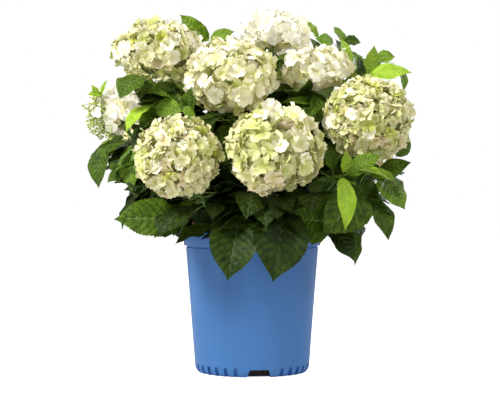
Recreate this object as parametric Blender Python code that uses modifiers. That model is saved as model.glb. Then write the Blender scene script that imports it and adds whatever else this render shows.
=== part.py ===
"""Mophead hydrangea shrub in its nursery pot.

Units are metres and +Z is up. The origin is the centre of the pot's flat underside,
and the front of the plant looks along -Y.

Each solid is one object: the pot, the potting mix, the root crown, a cane for each
shoot, and the mass of foliage that the cane carries. A mass is one green stem with
its leaves in crossed pairs and, on a flowering shoot, its flower head, fused to one
closed body.
"""
import math
import random
from dataclasses import dataclass

import bmesh
import bpy
from mathutils import Matrix, Vector
from mathutils.bvhtree import BVHTree

OBJECT_NAME = "potted_hydrangea"
GAP = 0.0003                 # clearance between neighbouring solids
MERGE = 0.00005              # merge distance of screws and welded caps

# Pot: a round tapering nursery container with a rolled rim band.
POT_HEIGHT = 0.268
RIM_RADIUS = 0.131
RIM_BAND = 0.0265            # height of the band under the rim's top
WALL_TOP_RADIUS = 0.1265     # outer wall just under the band
WALL_FOOT_RADIUS = 0.1095    # outer wall just above the rounded foot
FOOT_HEIGHT = 0.017
FOOT_INSET = 0.010
WALL = 0.0024
FLOOR = 0.003
POT_SIDES = 36
NOTCHES = 3                  # open drain notches through the foot of the wall
NOTCH_HEIGHT = 0.0145
NOTCH_FOOT_WIDTH = 0.052
NOTCH_TOP_WIDTH = 0.036
NOTCH_REACH = 0.012          # how far it cuts into the floor
NOTCH_TURN = math.radians(-83)       # heading of the first notch
SLOT_WIDTH = 0.0085          # shallow slots between the notches
SLOT_HEIGHT = 0.015
SLOT_DEPTH = 0.0020
SLOT_SLOPE = 0.60            # the slot's face slopes in like the foot
SLOT_STEP = math.radians(10.5)
SLOTS_BETWEEN = 8

# Potting mix and root crown.
MIX_TOP = 0.246
MIX_EDGE_DROP = 0.007        # the mix is lower at the wall than round the plant
MIX_FLAT_RADIUS = 0.050
CROWN_HEIGHT = 0.026
CROWN_RADIUS = 0.031
CROWN_FLARE_RADIUS = 0.040
CROWN_SIDES = 20

# Canes: woody limbs that rise from the root crown and lean out to their shoots.
CANE_BASE_RADIUS = 0.0052
CANE_TIP_RADIUS = 0.0036
CANE_SEGMENTS = 4
CANE_LIFT = 0.45             # how far its handles reach, as a share of the span
INNER_RING_LEAN = math.radians(31)   # tilt of the seats nearest the crown's top
OUTER_RING_LEAN = math.radians(67)
INNER_RING_SEATS = 6         # the steepest canes take these

# Shoots: green stems, leaves and flower heads.
STEM_TIP_RADIUS = 0.0024
STEM_UPRIGHTNESS = 0.08      # 0 points the stem away from the root crown, 1 straight up
STEM_AIM_HEIGHT = 0.20
NODE_SPACING = 0.042         # along the stem, from one pair of leaves to the next
NODE_CLEAR = 0.016           # from the flower head down to the first pair
BUD_CLEAR = 0.007            # from the top bud of a leafy shoot down to its first pair
FOOT_CLEAR = 0.012           # from the last pair down to the end of the stem
ROOT_STEP = 0.0016           # keeps the roots of leaves set by hand apart
FACING_BACK = 0.22           # leaves set by hand face away from this far behind the pot
LEAF_LENGTH = 0.118
LEAF_WIDTH_RATIO = 0.66
LEAF_THICKNESS_RATIO = 0.016
LEAF_STATIONS = ((0.30, 1.0), (0.68, 0.74))  # share of the length, share of the width
LEAF_ARCH = 0.09             # height of the blade's bow as a share of its length
LEAF_FOLD = 0.28             # how far the edges rise over the midrib, per half width
PETIOLE_LENGTH = 0.030
PETIOLE_RADIUS = 0.0017
PETIOLE_RISE = math.radians(22)      # a petiole climbs more steeply than its blade
PAIR_PITCH = (-6, -24, -42)     # degrees, first pair to last
FIRST_GROWTH = 0.80          # size of the first pair of leaves against the full size
GROWTH_STEP = 0.12           # and how much each lower pair gains
TRIES = 14                   # lies that a leaf tries before it is skipped
TRY_SLACK = 1 / 3            # each try strays this much further from the first lie
TRY_SHRINK = 0.97
TURN_STRAY = 12              # degrees either way
PITCH_STRAY = 7
ROLL_STRAY = 14
LENGTH_STRAY = (0.9, 1.12)
SEED = 41

# Flower heads: a smaller core with florets standing out of it.
CORE_SHARE = 0.84
HEAD_CLEAR_SHARE = 1.03      # leaves stay outside this
FLORETS = 18
FLORET_FACE_SHARE = 0.94
FLORET_RADIUS_SHARE = 0.38
FLORET_ROOT_SHARE = 0.55
FLORET_SPREAD = 0.86         # share of the head's height that the florets cover
FLORET_FOOT_SHARE = 0.12     # a floret's narrow end against its open one
FLORET_TWIST = 2.7           # turns each floret's square out of line with the next
STEM_SEGMENTS = 2

# The crown's outer limit: a rounded box that no seeded leaf leaves.
CROWN_CENTRE = Vector((-0.011, 0.0, 0.440))
CROWN_REACH = Vector((0.308, 0.300, 0.252))
CROWN_POWER = 2.6
LOWEST_LEAF = 0.185
FRONT_DISTANCE = 3.0         # of the place from which the open air is judged
FRONT_HEIGHT = 0.36


@dataclass(frozen=True)
class Shoot:
    """One cane and its mass: the centre of the flower head, or the top bud."""

    head: tuple
    radius: float = 0.0      # half the flower head's width, 0 on a leafy shoot
    rise: float = 0.0        # half its height
    stem: float = 0.17       # length of the green stem up to the head's centre
    pairs: int = 3
    leaf_scale: float = 1.0


SHOOTS = {
    "top_left": Shoot((-0.180, -0.020, 0.609), 0.086, 0.061, 0.20),
    "top_front": Shoot((-0.038, -0.110, 0.556), 0.087, 0.067, 0.20),
    "top_back": Shoot((0.043, 0.060, 0.654), 0.072, 0.043, 0.20),
    "top_right": Shoot((0.121, -0.035, 0.574), 0.067, 0.043, 0.19),
    "right": Shoot((0.213, -0.110, 0.480), 0.082, 0.076, 0.18),
    "front_left": Shoot((-0.134, -0.190, 0.406), 0.076, 0.075, 0.14),
    "front": Shoot((0.040, -0.205, 0.418), 0.088, 0.081, 0.14, pairs=2),
    "left": Shoot((-0.261, -0.060, 0.491), 0.056, 0.053, 0.17),
    "back_left": Shoot((-0.195, 0.165, 0.455), 0.076, 0.068, 0.17),
    "back": Shoot((-0.005, 0.215, 0.430), 0.084, 0.076, 0.16),
    "back_right": Shoot((0.208, 0.135, 0.440), 0.078, 0.070, 0.17),
    "upper_back_left": Shoot((-0.095, 0.120, 0.560), 0.078, 0.060, 0.19),
    "upper_back_right": Shoot((0.100, 0.155, 0.570), 0.074, 0.056, 0.19),
    "sprig_top_left": Shoot((-0.083, 0.020, 0.628), stem=0.13, pairs=2, leaf_scale=0.62),
    "sprig_top_right": Shoot((0.178, 0.030, 0.604), stem=0.13, pairs=3, leaf_scale=0.62),
    "sprig_right": Shoot((0.160, -0.165, 0.375), stem=0.11, pairs=2, leaf_scale=0.75),
    "skirt_front": Shoot((0.012, -0.150, 0.312), stem=0.07, pairs=2),
    "skirt_left": Shoot((-0.215, 0.035, 0.375), stem=0.11, pairs=3),
    "skirt_right": Shoot((0.205, -0.105, 0.345), stem=0.11, pairs=3),
    "skirt_far_right": Shoot((0.225, 0.045, 0.365), stem=0.11, pairs=3),
}


@dataclass(frozen=True)
class Shown:
    """A leaf of the plant's front, set by hand: where its blade starts and ends."""

    shoot: str
    base: tuple
    tip: tuple
    width: float
    lean: float              # degrees that its upper side leans out from straight up


SHOWN_LEAVES = (
    # The long blades that hang over the pot's rim.
    Shown("skirt_front", (-0.022, -0.165, 0.300), (-0.044, -0.205, 0.187), 0.086, 75),
    Shown("skirt_front", (0.056, -0.165, 0.312), (0.038, -0.210, 0.186), 0.098, 78),
    Shown("skirt_right", (0.140, -0.145, 0.288), (0.061, -0.168, 0.293), 0.088, 70),
    Shown("front", (0.048, -0.140, 0.338), (0.095, -0.170, 0.316), 0.048, 62),
    # Low on the left.
    Shown("front_left", (-0.130, -0.160, 0.290), (-0.247, -0.195, 0.295), 0.073, 72),
    Shown("front_left", (-0.113, -0.155, 0.329), (-0.127, -0.170, 0.275), 0.032, 65),
    Shown("front_left", (-0.067, -0.145, 0.280), (-0.139, -0.175, 0.250), 0.050, 25),
    Shown("front_left", (-0.145, -0.120, 0.285), (-0.179, -0.140, 0.260), 0.038, 55),
    # The left side.
    Shown("left", (-0.272, -0.050, 0.435), (-0.289, -0.080, 0.352), 0.050, 70),
    Shown("left", (-0.238, -0.082, 0.438), (-0.269, -0.112, 0.411), 0.036, 50),
    Shown("left", (-0.224, -0.080, 0.376), (-0.267, -0.110, 0.363), 0.044, 72),
    Shown("left", (-0.215, -0.100, 0.432), (-0.221, -0.125, 0.345), 0.048, 75),
    Shown("top_left", (-0.190, -0.095, 0.502), (-0.232, -0.140, 0.455), 0.030, 55),
    Shown("top_left", (-0.203, -0.100, 0.556), (-0.242, -0.138, 0.514), 0.056, 70),
    Shown("top_left", (-0.178, -0.095, 0.500), (-0.126, -0.115, 0.491), 0.038, 65),
    Shown("top_front", (-0.114, -0.135, 0.486), (-0.110, -0.165, 0.534), 0.028, 75),
    # The young sprigs on top.
    Shown("sprig_top_left", (-0.084, 0.035, 0.636), (-0.139, 0.038, 0.686), 0.034, 80),
    Shown("sprig_top_left", (-0.080, 0.005, 0.632), (-0.033, -0.015, 0.648), 0.028, 75),
    Shown("sprig_top_right", (0.156, 0.030, 0.630), (0.122, 0.030, 0.640), 0.032, 62),
    Shown("sprig_top_right", (0.178, 0.030, 0.630), (0.157, 0.030, 0.662), 0.024, 60),
    Shown("sprig_top_right", (0.176, 0.034, 0.634), (0.210, 0.034, 0.630), 0.026, 62),
    Shown("sprig_top_right", (0.219, 0.012, 0.572), (0.234, 0.008, 0.624), 0.038, 68),
    Shown("sprig_top_right", (0.240, 0.030, 0.598), (0.276, 0.028, 0.604), 0.032, 60),
    Shown("sprig_top_right", (0.223, 0.000, 0.564), (0.304, -0.010, 0.574), 0.036, 62),
    Shown("sprig_top_right", (0.189, 0.002, 0.584), (0.167, 0.004, 0.638), 0.027, 64),
    Shown("sprig_top_right", (0.211, 0.022, 0.580), (0.186, 0.022, 0.614), 0.032, 62),
    Shown("top_right", (0.120, -0.094, 0.528), (0.110, -0.124, 0.450), 0.028, 70),
    # Low on the right.
    Shown("skirt_right", (0.226, -0.095, 0.372), (0.292, -0.120, 0.398), 0.046, 50),
    Shown("skirt_right", (0.234, -0.110, 0.366), (0.277, -0.140, 0.310), 0.052, 65),
    Shown("skirt_right", (0.221, -0.118, 0.330), (0.249, -0.145, 0.256), 0.046, 68),
    Shown("skirt_right", (0.200, -0.135, 0.350), (0.130, -0.175, 0.268), 0.086, 72),
    Shown("skirt_right", (0.143, -0.110, 0.283), (0.187, -0.135, 0.220), 0.046, 65),
    Shown("skirt_right", (0.186, -0.100, 0.284), (0.190, -0.122, 0.208), 0.028, 65),
    Shown("sprig_right", (0.165, -0.170, 0.380), (0.169, -0.170, 0.420), 0.020, 60),
    Shown("sprig_right", (0.171, -0.170, 0.377), (0.231, -0.180, 0.411), 0.034, 60),
    Shown("sprig_right", (0.161, -0.190, 0.369), (0.167, -0.220, 0.277), 0.036, 65),
)
# Where the crown is open, seen from the front: across, up, and how far round.
OPEN_AIR = ((-0.292, 0.360, 0.014), (-0.262, 0.318, 0.024), (-0.275, 0.251, 0.020),
            (-0.215, 0.232, 0.036), (0.150, 0.222, 0.014), (0.275, 0.235, 0.030))

MOST_SHOWN = max(sum(shown.shoot == name for shown in SHOWN_LEAVES) for name in SHOOTS)


@dataclass(frozen=True)
class Leaf:
    """A placed leaf: where its petiole leaves the stem, and how its blade lies."""

    root: Vector
    base: Vector
    along: Vector
    normal: Vector
    length: float
    width: float


# ---------------------------------------------------------------- scene and helpers

def clear_scene():
    """Remove every object, so that the model starts from nothing."""
    for obj in list(bpy.data.objects):
        bpy.data.objects.remove(obj, do_unlink=True)


def new_collection(name):
    """A new collection under the scene's own."""
    collection = bpy.data.collections.new(name)
    bpy.context.scene.collection.children.link(collection)
    return collection


def new_material(name, colour, roughness):
    """A plain non-metallic surface."""
    material = bpy.data.materials.new(name)
    material.use_nodes = True
    shader = material.node_tree.nodes["Principled BSDF"]
    shader.inputs["Base Color"].default_value = (*colour, 1.0)
    shader.inputs["Roughness"].default_value = roughness
    shader.inputs["Metallic"].default_value = 0.0
    return material


def add_object(name, mesh, collection, material=None):
    """Put a mesh or curve in a collection as a named object."""
    obj = bpy.data.objects.new(name, mesh)
    collection.objects.link(obj)
    if material:
        obj.data.materials.append(material)
    return obj


def mesh_from(bm, name):
    """Turn a finished bmesh into mesh data."""
    mesh = bpy.data.meshes.new(name)
    bm.to_mesh(mesh)
    bm.free()
    return mesh


def heading_vector(heading, pitch):
    """Unit vector at a compass heading from +X and a pitch over the horizontal."""
    flat = math.cos(pitch)
    return Vector((math.cos(heading) * flat, math.sin(heading) * flat, math.sin(pitch)))


def aimed(start, direction):
    """Matrix that puts local +Z on a direction, with the local origin at start."""
    turn = direction.to_track_quat("Z", "Y").to_matrix().to_4x4()
    return Matrix.Translation(start) @ turn


def turned(name, profile, sides, collection, material):
    """A closed solid of revolution from (radius, height) points, inside to underside."""
    mesh = bpy.data.meshes.new(name)
    points = [(radius, 0.0, height) for radius, height in profile]
    mesh.from_pydata(points, [(i, i + 1) for i in range(len(points) - 1)], [])
    obj = add_object(name, mesh, collection, material)
    screw = obj.modifiers.new("turn", "SCREW")
    screw.axis = "Z"
    screw.steps = sides
    screw.render_steps = sides
    screw.use_merge_vertices = True
    screw.merge_threshold = MERGE
    return obj


def limb_curve(start, start_dir, end, end_dir, radii, segments):
    """Curve data of a round tapering limb between two points and directions."""
    curve = bpy.data.curves.new("limb", "CURVE")
    curve.dimensions = "3D"
    curve.bevel_depth = 1.0
    curve.bevel_resolution = 1
    curve.use_fill_caps = True
    curve.resolution_u = segments
    spline = curve.splines.new("BEZIER")
    spline.bezier_points.add(1)
    reach = (end - start).length * CANE_LIFT
    ends = zip(spline.bezier_points, (start, end), (start_dir, end_dir), radii)
    for point, place, direction, radius in ends:
        point.co = place
        point.handle_left = place - direction * reach
        point.handle_right = place + direction * reach
        point.radius = radius
    return curve


def mesh_of_curve(curve, name):
    """The curve's evaluated mesh with its end caps welded on."""
    holder = bpy.data.objects.new("limb_guide", curve)
    bpy.context.scene.collection.objects.link(holder)
    graph = bpy.context.evaluated_depsgraph_get()
    mesh = bpy.data.meshes.new_from_object(holder.evaluated_get(graph))
    bpy.data.objects.remove(holder, do_unlink=True)
    bm = bmesh.new()
    bm.from_mesh(mesh)
    bmesh.ops.remove_doubles(bm, verts=bm.verts, dist=MERGE)
    bm.to_mesh(mesh)
    bm.free()
    mesh.name = name
    return mesh


# ---------------------------------------------------------------- pot and potting mix

def wall_radius(height):
    """Outer radius of the plain wall at a height."""
    share = (height - FOOT_HEIGHT) / (POT_HEIGHT - RIM_BAND - FOOT_HEIGHT)
    return WALL_FOOT_RADIUS + (WALL_TOP_RADIUS - WALL_FOOT_RADIUS) * share


def pot_profile():
    """Floor, inner wall, rim, outer wall, foot and underside."""
    band_foot = POT_HEIGHT - RIM_BAND
    foot_inside = WALL_FOOT_RADIUS - WALL
    profile = [
        (0.0, FLOOR),
        (foot_inside - FOOT_INSET, FLOOR),
        (foot_inside, FOOT_HEIGHT),
        (wall_radius(band_foot) - WALL, band_foot),
        (RIM_RADIUS - 2 * WALL, POT_HEIGHT - WALL),
        (RIM_RADIUS - 1.5 * WALL, POT_HEIGHT),
        (RIM_RADIUS - 0.5 * WALL, POT_HEIGHT),
        (RIM_RADIUS, POT_HEIGHT - WALL),
        (RIM_RADIUS - 0.3 * WALL, band_foot),
        (wall_radius(band_foot), band_foot),
    ]
    for turn in (0.0, 30.0, 60.0, 90.0):
        angle = math.radians(turn)
        profile.append((WALL_FOOT_RADIUS - FOOT_INSET * (1 - math.cos(angle)),
                        FOOT_HEIGHT * (1 - math.sin(angle))))
    profile.append((0.0, 0.0))
    return profile


def notch_cutter(heading, collection):
    """A tapering wedge through the foot of the wall, wider at the ground."""
    bm = bmesh.new()
    bmesh.ops.create_cube(bm, size=1.0)
    inner = WALL_FOOT_RADIUS - FOOT_INSET - WALL - NOTCH_REACH
    depth = 2 * FOOT_INSET + WALL + NOTCH_REACH
    for vert in bm.verts:
        width = NOTCH_TOP_WIDTH if vert.co.z > 0 else NOTCH_FOOT_WIDTH
        height = NOTCH_HEIGHT if vert.co.z > 0 else -NOTCH_HEIGHT
        vert.co = Vector((inner + depth * (vert.co.x + 0.5), vert.co.y * width, height))
    bmesh.ops.rotate(bm, verts=bm.verts, matrix=Matrix.Rotation(heading, 3, "Z"))
    cutter = add_object("notch_cutter", mesh_from(bm, "notch_cutter"), collection)
    hide_cutter(cutter)


def slot_cutter(heading, collection):
    """A shallow recess that follows the curve of the foot down to the ground."""
    bm = bmesh.new()
    bmesh.ops.create_cube(bm, size=1.0)
    face = wall_radius(SLOT_HEIGHT) * math.cos(math.pi / POT_SIDES) - SLOT_DEPTH
    for vert in bm.verts:
        low = vert.co.z < 0
        reach = face + FOOT_INSET * (vert.co.x + 0.5)
        if low and vert.co.x < 0:
            reach -= 2 * SLOT_HEIGHT * SLOT_SLOPE
        height = -SLOT_HEIGHT if low else SLOT_HEIGHT
        vert.co = Vector((reach, vert.co.y * SLOT_WIDTH, height))
    bmesh.ops.rotate(bm, verts=bm.verts, matrix=Matrix.Rotation(heading, 3, "Z"))
    cutter = add_object("slot_cutter", mesh_from(bm, "slot_cutter"), collection)
    hide_cutter(cutter)


def hide_cutter(cutter):
    """Keep a cutting shape out of renders."""
    cutter.hide_render = True
    cutter.display_type = "WIRE"


def build_pot(collection, cutters, material):
    """The container with its drain notches and slots cut in the foot."""
    pot = turned("pot", pot_profile(), POT_SIDES, collection, material)
    for notch in range(NOTCHES):
        heading = NOTCH_TURN + notch * math.tau / NOTCHES
        notch_cutter(heading, cutters)
        middle = heading + math.pi / NOTCHES
        for slot in range(SLOTS_BETWEEN):
            offset = (slot - (SLOTS_BETWEEN - 1) / 2) * SLOT_STEP
            slot_cutter(middle + offset, cutters)
    cut = pot.modifiers.new("foot_openings", "BOOLEAN")
    cut.operation = "DIFFERENCE"
    cut.operand_type = "COLLECTION"
    cut.collection = cutters
    return pot


def build_mix(collection, material):
    """The potting mix: it fills the pot 0.3 mm clear of the wall and floor."""
    foot_inside = WALL_FOOT_RADIUS - WALL - 2 * GAP
    edge_height = MIX_TOP - MIX_EDGE_DROP
    foot = FLOOR + GAP
    profile = [
        (0.0, MIX_TOP),
        (MIX_FLAT_RADIUS, MIX_TOP),
        (wall_radius(edge_height) - WALL - 2 * GAP, edge_height),
        (foot_inside, FOOT_HEIGHT),
        (foot_inside - FOOT_INSET, foot),
        (0.0, foot),
    ]
    return turned("potting_mix", profile, POT_SIDES, collection, material)


# ---------------------------------------------------------------- root crown and canes

def build_root_crown(collection, material):
    """The woody knuckle: flat at the mix, flared at the roots, domed on top."""
    foot = MIX_TOP + GAP
    profile = [(0.0, foot + CROWN_HEIGHT)]
    for turn in (25, 50, 72, 85):
        angle = math.radians(turn)
        profile.append((CROWN_RADIUS * math.sin(angle),
                        foot + CROWN_HEIGHT * math.cos(angle)))
    profile.append((CROWN_FLARE_RADIUS, foot))
    profile.append((0.0, foot))
    return turned("root_crown", profile, CROWN_SIDES, collection, material)


def stem_axis(shoot):
    """Direction of a shoot's stem at its head."""
    away = (Vector(shoot.head) - Vector((0, 0, STEM_AIM_HEIGHT))).normalized()
    return away.lerp(Vector((0, 0, 1)), STEM_UPRIGHTNESS).normalized()


def cane_tip(shoot):
    """Where the woody cane ends and the green stem goes on."""
    return Vector(shoot.head) - stem_axis(shoot) * shoot.stem


def crown_seats():
    """A seat direction on the root crown for each shoot, in two rings."""
    steepness = {name: stem_axis(shoot).z for name, shoot in SHOOTS.items()}
    ranked = sorted(SHOOTS, key=steepness.get, reverse=True)
    rings = ((ranked[:INNER_RING_SEATS], INNER_RING_LEAN),
             (ranked[INNER_RING_SEATS:], OUTER_RING_LEAN))
    seats = {}
    for names, lean in rings:
        heading = {name: math.atan2(SHOOTS[name].head[1], SHOOTS[name].head[0])
                   for name in names}
        ordered = sorted(names, key=heading.get)
        step = math.tau / len(ordered)
        start = sum(heading[name] - i * step for i, name in enumerate(ordered))
        start /= len(ordered)
        for i, name in enumerate(ordered):
            seats[name] = heading_vector(start + i * step, math.pi / 2 - lean)
    return seats


def build_canes(collection, root_crown, material):
    """A tapering cane from the root crown to the foot of each shoot."""
    graph = bpy.context.evaluated_depsgraph_get()
    tree = BVHTree.FromObject(root_crown, graph)
    inside = Vector((0, 0, MIX_TOP + GAP))
    canes = {}
    for name, seat in crown_seats().items():
        shoot = SHOOTS[name]
        place, normal, _, _ = tree.ray_cast(inside + seat * CROWN_RADIUS * 2, -seat)
        start = place + normal * GAP
        curve = limb_curve(start, normal, cane_tip(shoot), stem_axis(shoot),
                           (CANE_BASE_RADIUS, CANE_TIP_RADIUS), CANE_SEGMENTS)
        mesh = mesh_of_curve(curve, f"cane_{name}")
        canes[name] = add_object(f"cane_{name}", mesh, collection, material)
    return canes


# ---------------------------------------------------------------- leaves

def across(direction, guide):
    """Two unit vectors square to a direction: the guide's own side of it, and above."""
    side = guide - direction * guide.dot(direction)
    side.normalize()
    return side, direction.cross(side)


def leaf_bmesh(leaf, margin=0.0):
    """A closed leaf: a four-sided spindle from inside the stem to the blade's tip.

    Two small rings make the petiole, and two wide ones the folded and bowed blade.
    """
    side = leaf.normal.cross(leaf.along)
    stalk = (leaf.base - leaf.root).normalized()
    bend = (stalk + leaf.along).normalized()
    thick = leaf.length * LEAF_THICKNESS_RATIO / 2 + margin
    petiole = PETIOLE_RADIUS + margin
    sections = [(leaf.root - stalk * PETIOLE_RADIUS, stalk, 0, 0, 0),
                (leaf.root, stalk, petiole, petiole, 0),
                (leaf.base, bend, petiole, petiole, 0)]
    for share, width_share in LEAF_STATIONS:
        bow = LEAF_ARCH * leaf.length * 4 * share * (1 - share)
        middle = leaf.base + leaf.along * leaf.length * share + leaf.normal * bow
        half = leaf.width / 2 * width_share + margin
        sections.append((middle, leaf.along, half, thick, LEAF_FOLD * half))
    tip = leaf.base + leaf.along * (leaf.length + margin)
    sections.append((tip, leaf.along, 0, 0, 0))

    bm = bmesh.new()
    rings = len(sections) - 1
    bmesh.ops.create_uvsphere(bm, u_segments=4, v_segments=rings, radius=1.0)
    for vert in bm.verts:
        ring = round(math.acos(max(-1.0, min(1.0, vert.co.z))) / math.pi * rings)
        middle, direction, half, depth, fold = sections[ring]
        out, above = across(direction, side)
        if abs(vert.co.x) > abs(vert.co.y):
            offset = out * math.copysign(half, -vert.co.x) + above * fold
        else:
            offset = above * math.copysign(depth, vert.co.y)
        vert.co = middle + offset
    return bm


def place_leaf(root, heading, pitch, length, roll, petiole):
    """A leaf that leaves the stem at a heading and pitch, rolled on its midrib."""
    stalk = heading_vector(heading, pitch + PETIOLE_RISE)
    along = heading_vector(heading, pitch)
    normal = heading_vector(heading, pitch + math.pi / 2)
    normal = Matrix.Rotation(roll, 3, along) @ normal
    return Leaf(root, root + stalk * petiole, along, normal, length,
                length * LEAF_WIDTH_RATIO)


def bare_length(shoot):
    """How far down the stem from the head's centre the first leaves grow."""
    return shoot.rise + NODE_CLEAR if shoot.radius else BUD_CLEAR


def shown_leaf(shown, order):
    """A leaf between the two ends set for it, rooted near the closest point of its stem.

    Each further leaf of a stem, by its order, is rooted a little lower.
    """
    shoot = SHOOTS[shown.shoot]
    base = Vector(shown.base)
    reach = Vector(shown.tip) - base
    along = reach.normalized()
    heading = math.atan2(base.y - FACING_BACK, base.x)
    face = heading_vector(heading, math.radians(90 - shown.lean))
    normal = (face - along * face.dot(along)).normalized()
    down = (Vector(shoot.head) - base).dot(stem_axis(shoot))
    lowest = shoot.stem - FOOT_CLEAR - ROOT_STEP * MOST_SHOWN
    down = min(max(down, bare_length(shoot)), lowest) + ROOT_STEP * order
    root = Vector(shoot.head) - stem_axis(shoot) * down
    return Leaf(root, base, along, normal, reach.length, shown.width)


def seeded_leaves(shoot, luck):
    """Crossed pairs of leaves down the stem, each as a list of lies to try in turn."""
    axis = stem_axis(shoot)
    heading = luck.uniform(0, math.tau)
    petiole = PETIOLE_LENGTH * shoot.leaf_scale
    room = shoot.stem - FOOT_CLEAR - bare_length(shoot)
    spacing = min(NODE_SPACING, room / (shoot.pairs - 1))
    for index in range(shoot.pairs):
        root = Vector(shoot.head) - axis * (bare_length(shoot) + spacing * index)
        growth = min(1.0, FIRST_GROWTH + GROWTH_STEP * index)
        for half in (0, 1):
            lies = []
            for attempt in range(TRIES):
                slack = 1 + attempt * TRY_SLACK
                turn = heading + (index / 2 + half) * math.pi
                turn += math.radians(luck.uniform(-TURN_STRAY, TURN_STRAY) * slack)
                stray = luck.uniform(-PITCH_STRAY, PITCH_STRAY) * slack
                pitch = math.radians(PAIR_PITCH[index] + stray)
                length = LEAF_LENGTH * shoot.leaf_scale * growth
                length *= luck.uniform(*LENGTH_STRAY) * TRY_SHRINK ** attempt
                roll = math.radians(luck.uniform(-ROLL_STRAY, ROLL_STRAY))
                lies.append(place_leaf(root, turn, pitch, length, roll, petiole))
            yield lies


def in_open_air(leaf):
    """Whether a leaf would close a place where the crown is open."""
    for share in (0.4, 0.7, 1.0):
        point = leaf.base + leaf.along * (leaf.length * share)
        nearness = FRONT_DISTANCE / (FRONT_DISTANCE + point.y)
        across = point.x * nearness
        height = FRONT_HEIGHT + (point.z - FRONT_HEIGHT) * nearness
        if any(math.hypot(across - x, height - z) < reach for x, z, reach in OPEN_AIR):
            return True
    return False


def inside_crown(leaf):
    """Whether a leaf's tip stays within the crown's rounded outline."""
    tip = leaf.base + leaf.along * leaf.length
    if tip.z < LOWEST_LEAF or in_open_air(leaf):
        return False
    offset = tip - CROWN_CENTRE
    total = sum(abs(offset[i] / CROWN_REACH[i]) ** CROWN_POWER for i in range(3))
    return total <= 1.0


# ---------------------------------------------------------------- clearances

class Clearances:
    """The spaces already taken, each as a search tree with its owner."""

    MARGIN = 0.0005

    def __init__(self):
        self.solids = []
        self.own = []

    def add(self, owner, bm, own=False):
        """Keep a shape that other owners' leaves, or all leaves, stay out of."""
        tree = BVHTree.FromBMesh(bm)
        bm.free()
        self.solids.append((owner, tree))
        if own:
            self.own.append((owner, tree))

    def blocker(self, owner, tree):
        """The owner of the first shape that a leaf would touch, or None."""
        for other, solid in self.solids:
            if other != owner and solid.overlap(tree):
                return other
        for other, solid in self.own:
            if other == owner and solid.overlap(tree):
                return other
        return None

    def take(self, owner, leaf):
        """Reserve a leaf's space if it is free, and say whether it was."""
        bm = leaf_bmesh(leaf, self.MARGIN)
        tree = BVHTree.FromBMesh(bm)
        bm.free()
        if self.blocker(owner, tree):
            return False
        self.solids.append((owner, tree))
        return True


def evaluated_bmesh(obj):
    """A bmesh of an object as its modifiers leave it."""
    bm = bmesh.new()
    bm.from_object(obj, bpy.context.evaluated_depsgraph_get())
    return bm


def grown_tube(start, end, radius):
    """A straight closed tube, for keeping leaves off a limb."""
    bm = bmesh.new()
    bmesh.ops.create_cone(bm, cap_ends=True, segments=8, radius1=radius, radius2=radius,
                          depth=(end - start).length)
    bm.transform(aimed((start + end) / 2, (end - start).normalized()))
    return bm


def head_ball(shoot, share):
    """The flower head's rounded outline at a share of its size."""
    bm = bmesh.new()
    bmesh.ops.create_icosphere(bm, subdivisions=2, radius=1.0)
    size = (shoot.radius * share, shoot.radius * share, shoot.rise * share)
    bmesh.ops.scale(bm, vec=size, verts=bm.verts)
    bmesh.ops.translate(bm, vec=shoot.head, verts=bm.verts)
    return bm


def plan_leaves(rigid, canes):
    """Choose each shoot's leaves, skipping any that would touch another solid."""
    taken = Clearances()
    for obj in rigid:
        taken.add(obj.name, evaluated_bmesh(obj))
    for name, cane in canes.items():
        grown = evaluated_bmesh(cane)
        bmesh.ops.recalc_face_normals(grown, faces=grown.faces)
        for vert in grown.verts:
            vert.co += vert.normal * 2 * GAP
        taken.add(f"cane_{name}", grown)
    for name, shoot in SHOOTS.items():
        head = Vector(shoot.head)
        taken.add(name, grown_tube(cane_tip(shoot), head, CANE_TIP_RADIUS))
        if shoot.radius:
            taken.add(name, head_ball(shoot, HEAD_CLEAR_SHARE), own=True)
    plan = {name: [] for name in SHOOTS}
    for shown in SHOWN_LEAVES:
        leaf = shown_leaf(shown, len(plan[shown.shoot]))
        if taken.take(shown.shoot, leaf):
            plan[shown.shoot].append(leaf)
    for index, (name, shoot) in enumerate(SHOOTS.items()):
        luck = random.Random(SEED + index)
        for lies in seeded_leaves(shoot, luck):
            for leaf in lies:
                if inside_crown(leaf) and taken.take(name, leaf):
                    plan[name].append(leaf)
                    break
    return plan


# ---------------------------------------------------------------- masses

def floret_bmesh(shoot, index):
    """A floret of the head: a square flare that opens outwards from the core."""
    golden = math.pi * (3 - math.sqrt(5))
    height = 1 - FLORET_SPREAD * 2 * (index + 0.5) / FLORETS
    ring = math.sqrt(1 - height * height)
    turn = golden * index
    out = Vector((ring * math.cos(turn), ring * math.sin(turn), height))
    size = Vector((shoot.radius, shoot.radius, shoot.rise))
    face = Vector((out.x / size.x, out.y / size.y, out.z / size.z)).normalized()
    tip = Vector(shoot.head) + out * size * FLORET_FACE_SHARE
    foot = Vector(shoot.head) + out * size * FLORET_ROOT_SHARE
    spread = (shoot.radius + shoot.rise) / 2 * FLORET_RADIUS_SHARE
    depth = (tip - foot).length
    twist = Matrix.Rotation(turn * FLORET_TWIST, 3, "Z")
    bm = bmesh.new()
    bmesh.ops.create_cone(bm, cap_ends=True, segments=4, radius2=spread, depth=depth,
                          radius1=spread * FLORET_FOOT_SHARE)
    bmesh.ops.rotate(bm, verts=bm.verts, matrix=twist)
    bm.transform(aimed(tip - face * depth / 2, face))
    return bm


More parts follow.
